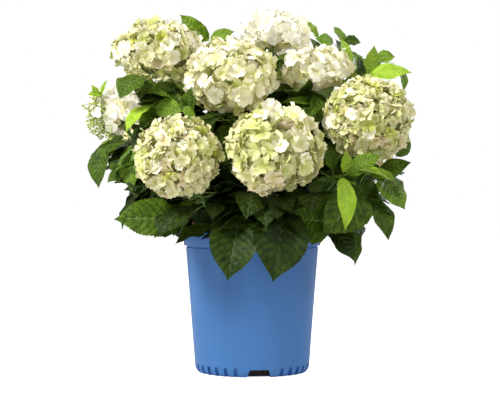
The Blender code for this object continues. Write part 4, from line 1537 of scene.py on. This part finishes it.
@dataclass
class FloretForm:
    """One floret of four sepals round a button."""

    rows: tuple = (0.0, 0.38, 0.76, 1.0)
    widths: tuple = (0.18, 0.86, 1.0, 0.44)
    columns: tuple = (-1.0, -0.36, 0.36, 1.0)
    breadth: float = 0.56    # half a sepal's width per length
    button: float = 0.0011

    def lay_out(self) -> None:
        """Lay out one sepal's points and the whole floret's faces."""
        t, v = np.meshgrid(self.rows, self.columns, indexing="ij")
        width = np.repeat(self.widths, len(self.columns)).reshape(t.shape)
        self.out = (t * (1 - 0.16 * v ** 2 * t ** 2)).ravel()
        self.side = (v * width * self.breadth).ravel()
        self.t, self.v = t.ravel(), v.ravel()
        rows, columns = t.shape
        index = np.arange(rows * columns).reshape(rows, columns)
        quads = np.stack((index[:-1, :-1], index[1:, :-1], index[1:, 1:],
                          index[:-1, 1:]), -1).reshape(-1, 4)
        faces = [quads + sepal * rows * columns for sepal in range(4)]
        slots = [np.full(4 * len(quads), FloretPart.SEPAL.value)]
        ring = 4 * rows * columns + np.arange(4)
        top, after = np.full(4, ring[-1] + 1), np.roll(ring, -1)
        faces.append(np.stack((ring, after, top, top), -1))
        faces.append(np.stack((after, ring, top + 1, top + 1), -1))
        slots.append(np.full(8, FloretPart.BUTTON.value))
        self.faces = np.concatenate(faces)
        self.slots = np.concatenate(slots)
        self.along = np.concatenate((np.tile(self.t, 4), np.zeros(6)))

    def open(self, centres: np.ndarray, normals: np.ndarray, radii: np.ndarray,
             luck: np.random.Generator) -> np.ndarray:
        """Open a floret at each place.

        Args:
            centres: Where each floret's button is.
            normals: Where each floret faces.
            radii: Each floret's radius.
            luck: Random numbers for their curl.

        Returns:
            The points, one block for each floret.
        """
        each = partial(luck.uniform, size=(len(centres), 1))
        guide = luck.normal(size=centres.shape)
        side = unit(guide - normals * (guide * normals).sum(1, keepdims=True))
        other = np.cross(normals, side)
        blocks = []
        for sepal in range(4):
            turn = sepal * pi / 2 + each(-0.22, 0.22)
            long = radii[:, None] * each(0.84, 1.16)
            tilt = each(-0.15, 0.55) + 0.10 * (sepal % 2)
            wide = self.side * long
            rise = each(-0.45, 0.45) * long * self.out ** 2 * 0.5
            rise = rise + each(-0.5, 0.7) * long * self.v ** 2 * self.t * 0.4
            rise = rise + each(0.0, 0.12) * long * self.t ** 2 * np.sin(
                self.v * 4.0 + each(0.0, tau))
            rise = rise + np.sin(each(-0.45, 0.45)) * wide
            flat = self.out * long * np.cos(tilt) - rise * np.sin(tilt) + 0.0008
            high = self.out * long * np.sin(tilt) + rise * np.cos(tilt)
            ahead = np.cos(turn) * flat - np.sin(turn) * wide
            aside = np.sin(turn) * flat + np.cos(turn) * wide
            blocks.append(centres[:, None] + side[:, None] * ahead[..., None]
                          + other[:, None] * aside[..., None]
                          + normals[:, None] * high[..., None])
        size = self.button
        centre = centres + normals * size * 0.6
        knob = [centre + side * size, centre + other * size, centre - side * size,
                centre - other * size, centre + normals * size, centre - normals * size]
        blocks.append(np.stack(knob, 1))
        return np.concatenate(blocks, 1)


@dataclass
class FlowerHeads:
    """The mopheads: florets on branching stalks, joined by their tone."""

    rule: GrowingRule
    form: FloretForm = field(default_factory=FloretForm)
    florets: dict[PetalTone, Batches] = field(
        default_factory=lambda: {tone: Batches() for tone in PetalTone})
    stalks: Batch = field(default_factory=Batch)
    buds: Batch = field(default_factory=Batch)
    seed: int = 23
    lowest: float = -0.97    # the florets stop at this share of the head's height
    crowding: float = 1.9    # how many florets lie over any place
    reach: tuple = (1.20, 0.22)   # how far under the outline they sit, in floret radii
    swell: float = 0.035     # how far the head's lobes swell in and out
    inner_share: float = 0.68
    inner_count: float = 0.40
    buds_in_cluster: int = 8

    def build(self) -> list[Object]:
        """Build every head's florets and stalks.

        Returns:
            Objects for each tone, then the stalks and the buds.
        """
        self.form.lay_out()
        for index, (name, shoot) in enumerate(SHOOTS.items()):
            if shoot.radius:
                luck = np.random.default_rng(self.seed + index)
                self.build_head(shoot, BLOOMS.get(name, Bloom(USUAL)), luck)
        button = BUTTON.material()
        pieces = []
        for tone, batches in self.florets.items():
            pieces += batches.build(f"florets_{tone.value}", SEPALS[tone].material(), button)
        return pieces + [self.stalks.build("flower_stalks", STALK.material()),
                         self.buds.build("flower_buds", BUD.material())]

    def directions(self, count: int, start: float) -> np.ndarray:
        """Even directions over a ball, from its top down to the lowest florets.

        Args:
            count: How many there are.
            start: The first one's heading.

        Returns:
            The directions, one row each.
        """
        number = np.arange(count) + 0.5
        height = 1 - (1 - self.lowest) * number / count
        turn = pi * (3 - sqrt(5)) * number + start
        ring = np.sqrt(1 - height ** 2)
        return np.stack((ring * np.cos(turn), ring * np.sin(turn), height), -1)

    def tones(self, bloom: Bloom, out: np.ndarray, depth: np.ndarray,
              luck: np.random.Generator) -> list[PetalTone]:
        """Deal a tone to each floret of a head, with painted shade on its lower side and in its
        crevices.

        Args:
            bloom: The head's make-up.
            out: Each floret's direction from the head's centre.
            depth: How far out it sits.
            luck: The head's random numbers.

        Returns:
            The tones.
        """
        tones = list(PetalTone)[:len(bloom.shares)]
        ivory, cream, celery, _, blush = range(len(tones))
        weights = np.tile(np.array(bloom.shares), (len(out), 1))
        # painted shade: florets on the head's lower side get more blush and cream and less ivory
        low = smooth_step(0.0, 0.9, -out[:, 2])
        weights[:, blush] += 0.06 * low
        weights[:, cream] += 0.25 * low
        weights[:, ivory] *= 1 - 0.5 * low
        # painted shade: florets sunk deeper in the head get less ivory and more celery
        clear_of_painted_shade = smooth_step(*np.quantile(depth, (0.15, 0.55)), depth)
        weights[:, ivory] *= 0.35 + 0.65 * clear_of_painted_shade
        weights[:, celery] *= 1.6 - 0.6 * clear_of_painted_shade
        for patch in bloom.patches:
            towards = unit(np.array(patch.towards))
            angle = np.degrees(np.arccos(np.clip(out @ towards, -1, 1)))
            inside = smooth_step(0.0, 10.0, patch.spread - angle)
            weights[:, tones.index(patch.tone)] += 1.2 * inside
        weights /= weights.sum(1, keepdims=True)
        drawn = luck.uniform(size=(len(out), 1))
        return [tones[i] for i in (np.cumsum(weights, 1) < drawn).sum(1).clip(0, 4)]

    def build_head(self, shoot: Shoot, bloom: Bloom, luck: np.random.Generator) -> None:
        """Gather one head's florets, buds and stalks.

        Args:
            shoot: The shoot.
            bloom: The head's make-up.
            luck: Its random numbers.
        """
        size = np.array((shoot.radius, shoot.radius, shoot.rise))
        area = tau * shoot.radius * (shoot.radius + shoot.rise)
        outer = int(self.crowding * area / (pi * bloom.floret_radius ** 2))
        out = self.directions(outer, luck.uniform(0, tau))
        out = unit(out + luck.normal(size=out.shape) * 0.05)
        lobes = np.sin(out @ luck.normal(size=(3, 4)) * 4.5).sum(1) * self.swell / 2
        mean = sqrt(shoot.radius * shoot.rise)
        depth = 1 - luck.uniform(*sorted(self.reach), outer) * bloom.floret_radius / mean
        depth = depth + lobes
        inner = self.directions(int(outer * self.inner_count), 1.0)
        out = np.concatenate((out, inner))
        depth = np.concatenate((depth, np.full(len(inner), self.inner_share)))
        centres = np.array(shoot.head) + out * size * depth[:, None]
        normals = unit(out / size)
        normals = unit(normals + luck.normal(size=normals.shape) * bloom.tilt)
        radii = bloom.floret_radius * luck.uniform(0.72, 1.24, len(out))
        is_open = np.ones(len(out), bool)
        if bloom.bud_side:
            side = unit(np.array(bloom.bud_side))
            is_open = out @ side + luck.normal(size=len(out)) * 0.25 < 0.25
        kept = np.ones(len(out), bool)
        for *towards, degrees in bloom.gaps:
            aim = unit(np.array(towards))
            kept &= out @ aim + luck.normal(size=len(out)) * 0.03 < cos(radians(degrees))
        is_open &= kept
        self.add_stalks(shoot, centres[kept])
        closed = kept & ~is_open
        self.add_buds(centres[closed], normals[closed], luck)
        tones = self.tones(bloom, out, depth, luck)
        # painted shade: the inner florets, deep in the head, are dealt celery unless the head is
        # white
        if bloom.shares[0] < 0.7:
            tones[outer:] = [PetalTone.CELERY] * (len(tones) - outer)
        # The whitest heads' ivory florets take pearl, which carries the strongest painted glow.
        if bloom.shares[0] > 0.9:
            tones = [PetalTone.PEARL if tone is PetalTone.IVORY else tone for tone in tones]
        blocks = self.form.open(centres, normals, radii, luck)
        tints_with_painted_shade = luck.uniform(0.15, 1.0, len(out))
        # painted shade: the inner florets take the lowest tints, so they come out darker
        tints_with_painted_shade[outer:] *= 0.1
        for index in np.flatnonzero(is_open):
            self.florets[tones[index]].add(
                blocks[index], self.form.faces, self.form.slots, tint=tints_with_painted_shade[index],
                along=self.form.along)

    def add_stalks(self, shoot: Shoot, centres: np.ndarray) -> None:
        """Gather the stalks that carry a head's florets from the stem's end.

        Args:
            shoot: The shoot.
            centres: Where the florets are.
        """
        axis = np.array(self.rule.stem_axis(shoot))
        hub = np.array(shoot.head) - axis * shoot.rise * 0.55
        radii = np.array((0.0011, 0.0008, 0.0006))
        for centre in centres:
            fork = hub + (centre - hub) * 0.55 + axis * shoot.rise * 0.10
            self.stalks.add(*tube(np.stack((hub, fork, centre)), radii, 3))

    def add_buds(self, centres: np.ndarray, normals: np.ndarray,
                 luck: np.random.Generator) -> None:
        """Gather small clusters of closed green buds.

        Args:
            centres: Where each cluster sits.
            normals: The way that it faces.
            luck: The head's random numbers.
        """
        profile = np.array((-1.0, -0.4, 0.4, 1.0))[:, None]
        for centre, normal in zip(centres, normals):
            for _ in range(self.buds_in_cluster):
                place = centre + luck.normal(size=3) * 0.0045 + normal * 0.003
                size = luck.uniform(0.0014, 0.0027)
                radii = size * np.array((0.45, 0.95, 0.90, 0.30))
                self.buds.add(*tube(place + normal * size * profile, radii, 5))


# ---------- stems and canes

@dataclass
class Stems:
    """The green stems, the side twigs and the leaf stalks."""

    plan: Plan
    sides: int = 8
    rings: int = 26
    node_swell: float = 0.28

    def build(self) -> list[Object]:
        """Build the stems and the leaf stalks.

        Returns:
            The stems and the leaf stalks, each as one object.
        """
        rule = self.plan.rule
        stems, stalks = Batch(), Batch()
        for name, shoot in SHOOTS.items():
            axis = rule.stem_axis(shoot)
            start = rule.cane_tip(shoot) + axis * rule.gap
            end = Vector(shoot.head) - axis * shoot.rise * 0.5
            share = np.linspace(0.0, 1.0, self.rings)
            path = np.array(start) + np.array(end - start) * share[:, None]
            radii = rule.cane_tip_radius + (rule.stem_tip_radius - rule.cane_tip_radius) * share
            for leaf in self.plan.leaves[name]:
                at = (leaf.root - start).dot(axis) / max((end - start).length, 1e-6)
                near = np.exp(-((share - at) / 0.022) ** 2)
                radii = np.maximum(radii, radii * (1 + self.node_swell * near))
            stems.add(*tube(path, np.minimum(radii, rule.cane_tip_radius * 1.35), self.sides))
            for leaf in self.plan.leaves[name]:
                self.add_petiole(leaf, stalks)
        for twig in self.plan.twigs:
            path = np.array([twig.root.lerp(twig.tip, s) for s in (0.0, 0.5, 1.0)])
            stems.add(*tube(path, np.array((1.2, 1.0, 0.9)) * twig.radius, 6))
        return [stems.build("stems", STEM.material()),
                stalks.build("leaf_stalks", PETIOLE.material())]

    def add_petiole(self, leaf: Leaf, stalks: Batch) -> None:
        """Gather one leaf's stalk, from inside the stem to the foot of its blade.

        Args:
            leaf: The leaf.
            stalks: The stalks gathered so far.
        """
        stalk = (leaf.base - leaf.root).normalized()
        end = leaf.base + leaf.along * leaf.length * 0.05
        end -= leaf.normal * 0.0004
        path = eased_path(leaf.root, stalk, end, leaf.along, 0.3, 5)
        scale = min(1.0, 0.45 + leaf.length * 5)
        radii = np.array((1.25, 0.95, 0.85, 0.80, 0.65, 0.35)) * 0.0016 * scale
        stalks.add(*tube(path, radii, 6))


@dataclass
class Canes:
    """The woody canes, with ridged bark and old leaf nodes."""

    rule: GrowingRule
    sides: int = 14
    rings: int = 60
    node_spacing: float = 0.038
    seed: int = 5

    def build(self) -> Object:
        """Build the canes as one object.

        Returns:
            The canes.
        """
        rule = self.rule
        tree = mesh_tree(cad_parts["root_crown"])
        inside = Vector((0, 0, rule.mix_top + rule.gap))
        canes = Batch()
        for index, (name, seat) in enumerate(rule.crown_seats().items()):
            shoot = SHOOTS[name]
            place, normal, *_ = tree.ray_cast(inside + seat * rule.crown_radius * 2, -seat)
            start = place - normal * 0.002
            path = eased_path(start, normal, rule.cane_tip(shoot),
                              rule.stem_axis(shoot), rule.cane_lift, self.rings - 1)
            luck = np.random.default_rng(self.seed + index)
            canes.add(*tube(path, self.radii(path, luck), self.sides, self.bark(path, luck)))
        return canes.build("canes", BARK.material())

    def radii(self, path: np.ndarray, luck: np.random.Generator) -> np.ndarray:
        """The radius along a cane, swollen at its old nodes and its foot.

        Args:
            path: The points of its centre line.
            luck: The cane's random numbers.

        Returns:
            The radius at each point.
        """
        share = np.linspace(0.0, 1.0, len(path))
        rule = self.rule
        radii = rule.cane_base_radius + (rule.cane_tip_radius - rule.cane_base_radius) * share
        span = np.linalg.norm(np.diff(path, axis=0), axis=1).sum()
        nodes = max(int(span / self.node_spacing), 1)
        for node in range(1, nodes + 1):
            at = (node + luck.uniform(-0.15, 0.15)) / (nodes + 0.5)
            radii = radii * (1 + 0.16 * np.exp(-((share - at) * span / 0.0028) ** 2))
        return radii * (1 + 0.25 * np.exp(-(share / 0.04) ** 2))

    def bark(self, path: np.ndarray, luck: np.random.Generator) -> np.ndarray:
        """Shares that long uneven ridges push the bark out by.

        Args:
            path: The points of the cane's centre line.
            luck: The cane's random numbers.

        Returns:
            One row of shares for each ring.
        """
        turn = np.arange(self.sides) * tau / self.sides
        share = np.linspace(0.0, 1.0, len(path))[:, None]
        phase = luck.uniform(0, tau, 4)
        ridge = 0.045 * np.sin(3 * turn + phase[0] + 2.2 * np.sin(share * 9 + phase[1]))
        ridge = ridge + 0.035 * np.sin(6 * turn + phase[2] + share * 22)
        return ridge + luck.normal(size=(len(path), self.sides)) * 0.012


@dataclass
class RootCrown:
    """The woody knuckle that the canes rise from."""

    height: float = 0.026
    radius: float = 0.031
    flare_radius: float = 0.040
    lump: float = 0.0011
    steps: int = 72

    def build(self, rule: GrowingRule) -> Object:
        """Turn the knuckle and raise its knobbly bark.

        Args:
            rule: The growing rule, for its foot's height.

        Returns:
            The root crown.
        """
        foot = rule.mix_top + rule.gap
        dome = [radians(turn) for turn in (8, 16, 25, 34, 43, 52, 61, 70, 78, 85)]
        profile = [(0.0, foot + self.height),
                   *((self.radius * sin(turn), foot + self.height * cos(turn))
                     for turn in dome),
                   (self.flare_radius, foot), (0.0, foot)]
        obj = Bench.turn("root_crown_bark", profile, self.steps)
        for vert in obj.data.vertices:
            out = Vector((vert.co.x, vert.co.y, 0.0))
            if out.length < 1e-5 or vert.co.z < foot + 1e-5:
                continue
            heading = atan2(vert.co.y, vert.co.x)
            knob = (sin(5 * heading + 140 * vert.co.z)
                    + 0.6 * sin(11 * heading - 260 * vert.co.z)
                    + 0.5 * sin(23 * heading + 90 * vert.co.z))
            vert.co += out.normalized() * self.lump * (0.6 + 0.4 * knob)
        Bench.smooth(obj, 50)
        obj.data.materials.append(CROWN_BARK.material())
        return obj


# ---------- pot and mix

@dataclass
class NurseryPot:
    """The moulded pot: rolled rim band, tapering wall, rounded foot, drain notches."""

    height: float = 0.268
    rim_radius: float = 0.131
    rim_band: float = 0.0265
    wall_top_radius: float = 0.1265
    wall_foot_radius: float = 0.1095
    foot_height: float = 0.017
    foot_inset: float = 0.010
    wall: float = 0.0024
    floor: float = 0.003
    band_softness: float = 0.0006
    neck: float = 0.0020     # the wall draws in by this much under the band
    steps: int = 144
    notches: int = 3
    notch_height: float = 0.0145
    notch_foot_width: float = 0.052
    notch_top_width: float = 0.036
    notch_reach: float = 0.012
    notch_softness: float = 0.0022
    notch_turn: float = radians(-83)
    slot_width: float = 0.0085
    slot_height: float = 0.018
    slot_depth: float = 0.0016
    slot_slope: float = 0.60
    slot_rounding: float = 0.48   # of its width, so nearly a half round
    slot_step: float = radians(10.5)
    slots_between: int = 8

    def wall_radius(self, height: float) -> float:
        """Outer radius of the plain wall at a height."""
        share = (height - self.foot_height) / (self.height - self.rim_band - self.foot_height)
        return self.wall_foot_radius + (self.wall_top_radius - self.wall_foot_radius) * share

    def profile(self) -> list[Range]:
        """Floor, inner wall, rim, outer wall, foot and underside.

        Returns:
            Points of radius and height, from axis to axis.
        """
        band_foot = self.height - self.rim_band
        under_band = self.wall_radius(band_foot)
        foot_inside = self.wall_foot_radius - self.wall
        lip = 1.1 * self.wall / 2
        low = self.rim_radius - 0.3 * self.wall
        soft = self.band_softness
        over_rim = [radians(turn) for turn in range(180, -1, -30)]
        under_foot = [radians(turn) for turn in range(0, 91, 10)]
        return [(0.0, self.floor),
                (foot_inside - self.foot_inset, self.floor),
                (foot_inside, self.foot_height),
                (under_band - self.wall, band_foot),
                (self.rim_radius - 2 * lip, band_foot + 0.006),
                *((self.rim_radius - lip + lip * cos(turn),
                   self.height - lip + lip * sin(turn)) for turn in over_rim),
                (low, band_foot + soft),
                (low - soft * 0.3, band_foot + soft * 0.3),
                (low - soft, band_foot),
                (under_band - self.neck, band_foot),
                (under_band - self.neck, band_foot - 1.4 * self.neck),
                (self.wall_radius(band_foot - 2 * self.neck), band_foot - 2 * self.neck),
                *((self.wall_foot_radius - self.foot_inset * (1 - cos(turn)),
                   self.foot_height * (1 - sin(turn))) for turn in under_foot),
                (0.0, 0.0)]

    def block(self, name: str) -> Object:
        """A new block, 1 m a side, to be shaped."""
        Bench.put_down()
        bpy.ops.mesh.primitive_cube_add(size=1.0)
        return Bench.name_new(name)

    def notch_cutter(self, heading: float) -> Object:
        """A tapering wedge with softened corners, aimed through the foot."""
        inner = self.wall_foot_radius - self.foot_inset - self.wall - self.notch_reach
        depth = 2 * self.foot_inset + self.wall + self.notch_reach
        cutter = self.block("notch_cutter")
        for vert in cutter.data.vertices:
            high = vert.co.z > 0
            width = self.notch_top_width if high else self.notch_foot_width
            vert.co = (inner + depth * (vert.co.x + 0.5), vert.co.y * width,
                       self.notch_height if high else -self.notch_height)
        return self.finish_cutter(cutter, heading, self.notch_softness, 4)

    def slot_cutter(self, heading: float) -> Object:
        """A round-topped upright recess at the foot of the wall."""
        cutter = self.block("slot_cutter")
        face = self.wall_radius(self.slot_height) - self.slot_depth
        for vert in cutter.data.vertices:
            high = vert.co.z > 0
            inner = vert.co.x < 0 and not high
            vert.co = (face + self.foot_inset * (vert.co.x + 0.5),
                       vert.co.y * self.slot_width,
                       self.slot_height * (1 if high else -1))
            if inner:
                vert.co.x -= 2 * self.slot_height * self.slot_slope
        return self.finish_cutter(cutter, heading, self.slot_width * self.slot_rounding, 6)

    def finish_cutter(self, cutter: Object, heading: float, offset: float,
                      segments: int) -> Object:
        """Round the two upper edges that run inwards, and turn the block to its place.

        Args:
            cutter: The cutting block.
            heading: Its place round the foot.
            offset: The rounding's size.
            segments: Its steps.

        Returns:
            The block.
        """
        Bench.pick(cutter)
        bpy.ops.object.mode_set(mode="EDIT")
        bpy.ops.mesh.select_mode(type="EDGE")
        bpy.ops.mesh.select_all(action="DESELECT")
        bpy.ops.object.mode_set(mode="OBJECT")
        points = cutter.data.vertices
        for edge in cutter.data.edges:
            a, b = (points[i].co for i in edge.vertices)
            edge.select = a.z > 0 and b.z > 0 and abs(a.y - b.y) < 1e-6
        bpy.ops.object.mode_set(mode="EDIT")
        bpy.ops.mesh.bevel(offset=offset, segments=segments)
        Bench.put_down()
        cutter.rotation_euler = (0, 0, heading)
        Bench.settle(cutter)
        return cutter

    def build(self) -> Object:
        """Turn the pot and cut its foot.

        Returns:
            The pot.
        """
        pot = Bench.turn("nursery_pot", self.profile(), self.steps)
        cutters = []
        for notch in range(self.notches):
            heading = self.notch_turn + notch * tau / self.notches
            cutters.append(self.notch_cutter(heading))
            middle = heading + pi / self.notches
            for slot in range(self.slots_between):
                offset = (slot - (self.slots_between - 1) / 2) * self.slot_step
                cutters.append(self.slot_cutter(middle + offset))
        Bench.put_down()
        for cutter in cutters:
            cutter.select_set(True)
        bpy.context.view_layer.objects.active = cutters[0]
        bpy.ops.object.join()
        cut = pot.modifiers.new("foot openings", "BOOLEAN")
        cut.operation = "DIFFERENCE"
        cut.object = cutters[0]
        Bench.pick(pot)
        bpy.ops.object.modifier_apply(modifier=cut.name)
        bpy.data.objects.remove(cutters[0], do_unlink=True)
        Bench.smooth(pot, 32)
        pot.data.materials.clear()
        pot.data.materials.append(PLASTIC.material())
        return pot


@dataclass
class PottingMix:
    """The potting mix: an uneven surface strewn with bark chips."""

    pot: NurseryPot
    rule: GrowingRule
    edge_drop: float = 0.007
    flat_radius: float = 0.050
    steps: int = 96
    unevenness: float = 0.0016
    chips: int = 620
    seed: int = 9

    def top_height(self, radius: float) -> float:
        """Height of the mix at a distance from the plant."""
        edge = self.pot.wall_radius(self.rule.mix_top) - self.pot.wall
        share = max(0.0, radius - self.flat_radius) / (edge - self.flat_radius)
        return self.rule.mix_top - self.edge_drop * min(share, 1.0)

    def build(self) -> list[Object]:
        """Turn the mix, roughen its top, and strew the chips.

        Returns:
            The mix and its chips.
        """
        pot, gap = self.pot, self.rule.gap
        edge_height = self.rule.mix_top - self.edge_drop
        edge = pot.wall_radius(edge_height) - pot.wall - 2 * gap
        foot_inside = pot.wall_foot_radius - pot.wall - 2 * gap
        radii = np.linspace(0.0, edge, 26)
        profile = [(radius, self.top_height(radius)) for radius in radii]
        profile += [(foot_inside, pot.foot_height),
                    (foot_inside - pot.foot_inset, pot.floor + gap),
                    (0.0, pot.floor + gap)]
        mix = Bench.turn("mix_fill", profile, self.steps)
        for vert in mix.data.vertices:
            radius = hypot(vert.co.x, vert.co.y)
            if vert.co.z > edge_height - 1e-4 and 0.042 < radius < edge - 1e-4:
                x, y = vert.co.x * 1000, vert.co.y * 1000
                bump = (sin(x * 0.61 + 2 * sin(y * 0.23))
                        + sin(y * 0.53 + 2 * sin(x * 0.31))
                        + 0.7 * sin(x * 1.37 + y * 1.11))
                vert.co.z += self.unevenness * 0.4 * bump
        Bench.smooth(mix, 40)
        mix.data.materials.append(SOIL.material())
        return [mix, self.strew(edge)]

    def strew(self, edge: float) -> Object:
        """Strew bark chips on the mix, clear of the root crown.

        Args:
            edge: The mix's radius at its top.

        Returns:
            The chips.
        """
        luck = np.random.default_rng(self.seed)
        chips = Batch()
        for _ in range(self.chips):
            radius = sqrt(luck.uniform(0.045 ** 2, (edge - 0.006) ** 2))
            turn = luck.uniform(0, tau)
            place = np.array((radius * cos(turn), radius * sin(turn),
                              self.top_height(radius) + luck.uniform(-0.0005, 0.0015)))
            lie = luck.uniform(0, tau)
            along = np.array((cos(lie), sin(lie), luck.uniform(-0.3, 0.3)))
            length = luck.uniform(0.003, 0.009)
            share = np.array((-1.0, -0.4, 0.4, 1.0))[:, None]
            bend = luck.normal(size=(4, 3)) * length * 0.05
            path = place + along * share * length / 2 + bend
            radii = length * luck.uniform(0.10, 0.24) * np.array((0.5, 1.0, 0.9, 0.4))
            chips.add(*tube(path, radii, 5, luck.uniform(-0.25, 0.25, (4, 5))))
        return chips.build("mix_chips", BARK_CHIP.material(), smooth=False)


# ---------- studio

@dataclass
class Studio:
    """Camera, pale floor and soft light."""

    lens: float = 112.97
    camera_place: tuple = (-0.004, -3.0, 0.36)
    camera_drop: float = radians(0.62)
    floor_size: float = 14.0

    def build(self) -> None:
        """Set the whole studio up."""
        self.add_camera()
        self.add_floor()
        self.add_world()
        self.add_softbox("key", (-2.15, -1.65, 2.55), (0.0, 0.0, 0.44), 1.0, 138.0)
        self.add_softbox("fill", (2.15, -1.6, 2.6), (0.0, 0.0, 0.50), 1.4, 40.0)
        self.add_softbox("back", (1.6, 1.7, 2.0), (0.0, 0.0, 0.45), 1.4, 40.0)
        view = bpy.context.scene.view_settings
        view.view_transform = "Standard"
        view.look = "None"

    def add_camera(self) -> None:
        """The camera at the front, a little over the crown's middle."""
        data = bpy.data.cameras.new("camera")
        data.lens = self.lens
        data.sensor_width = 36.0
        camera = new_object("camera", data)
        camera.location = self.camera_place
        camera.rotation_euler = (pi / 2 - self.camera_drop, 0.0, 0.0)
        bpy.context.scene.camera = camera

    def add_floor(self) -> None:
        """A plain pale floor just under the pot."""
        Bench.put_down()
        bpy.ops.mesh.primitive_plane_add(size=self.floor_size, location=(0, 0, -0.0004))
        floor = Bench.name_new("floor")
        Bench.settle(floor)
        paint = bpy.data.materials.new("pale floor")
        paint.use_nodes = True
        tree = paint.node_tree
        connect(tree, tree.nodes["Principled BSDF"], {
            "Base Color": (0.74, 0.74, 0.74, 1.0), "Roughness": 0.9,
            "Specular IOR Level": 0.0, "Emission Color": WHITE,
            "Emission Strength": add_node(tree, "LightPath", {}, "Is Camera Ray")})
        floor.data.materials.append(paint)
        floor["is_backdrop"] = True

    def add_world(self) -> None:
        """White surroundings, dimmer as a light than as a backdrop."""
        world = bpy.data.worlds.new("studio")
        bpy.context.scene.world = world
        world.use_nodes = True
        tree = world.node_tree
        light = tree.nodes["Background"]
        connect(tree, light, {"Color": WHITE, "Strength": 0.22})
        backdrop = add_node(tree, "Background", {"Color": WHITE, "Strength": 1.0})
        seen = add_node(tree, "LightPath", {}, "Is Camera Ray")
        both = add_node(tree, "MixShader", {"Fac": seen, 1: light.outputs[0], 2: backdrop})
        connect(tree, tree.nodes["World Output"], {"Surface": both})

    def add_softbox(self, name: str, place: Triple, target: Triple, size: float,
                    power: float) -> None:
        """A square soft light aimed at the plant.

        Args:
            name: Its name.
            place: Where it hangs.
            target: What it is aimed at.
            size: Its side, in metres.
            power: Its power, in watts.
        """
        data = bpy.data.lights.new(name, "AREA")
        data.size = size
        data.energy = power
        lamp = new_object(name, data)
        lamp.location = place
        aim = Vector(target) - Vector(place)
        lamp.rotation_euler = aim.to_track_quat("-Z", "Y").to_euler()


# ---------- putting together

def mount(piece: Object, slot: str, nodes: Sequence[str]) -> None:
    """Put a piece on the plant's body in place of the solids that it stands for.

    Args:
        piece: The finished piece.
        slot: The material slot that it belongs to, which is only logged.
        nodes: The solids that it replaces.
    """
    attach(piece, "root")
    if nodes:
        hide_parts(*nodes)
    LOG.info("%s rides the plant, slot %s", piece.name, slot)


def write_sizes() -> None:
    """Work out the solids' box and the finished model's box as plain numbers, without writing them
    out.
    """
    boxes = {"solids": SOLIDS_BOX, "finished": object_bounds()}
    plain = {name: [[float(x) for x in corner] for corner in box] for name, box in boxes.items()}


def main() -> None:
    """Build the plant in its pot, dress it, and set up the studio."""
    logging.basicConfig(level=logging.INFO, format="%(name)s: %(message)s")
    rule = GrowingRule()
    plan = Plan(rule)
    plan.grow()
    masses = [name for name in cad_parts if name.startswith("foliage_")]
    limbs = [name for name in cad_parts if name.startswith("cane_")]
    for growth in (Foliage(plan), FlowerHeads(rule), Stems(plan)):
        for piece in growth.build():
            mount(piece, "foliage", masses)
    mount(Canes(rule).build(), "bark", limbs)
    mount(RootCrown().build(rule), "bark", ["root_crown"])
    pot = NurseryPot()
    mount(pot.build(), "pot", ["pot"])
    for piece in PottingMix(pot, rule).build():
        mount(piece, "potting_mix", ["potting_mix"])
    Studio().build()
    Bench.put_down()
    write_sizes()


if __name__ == "__main__":
    main()
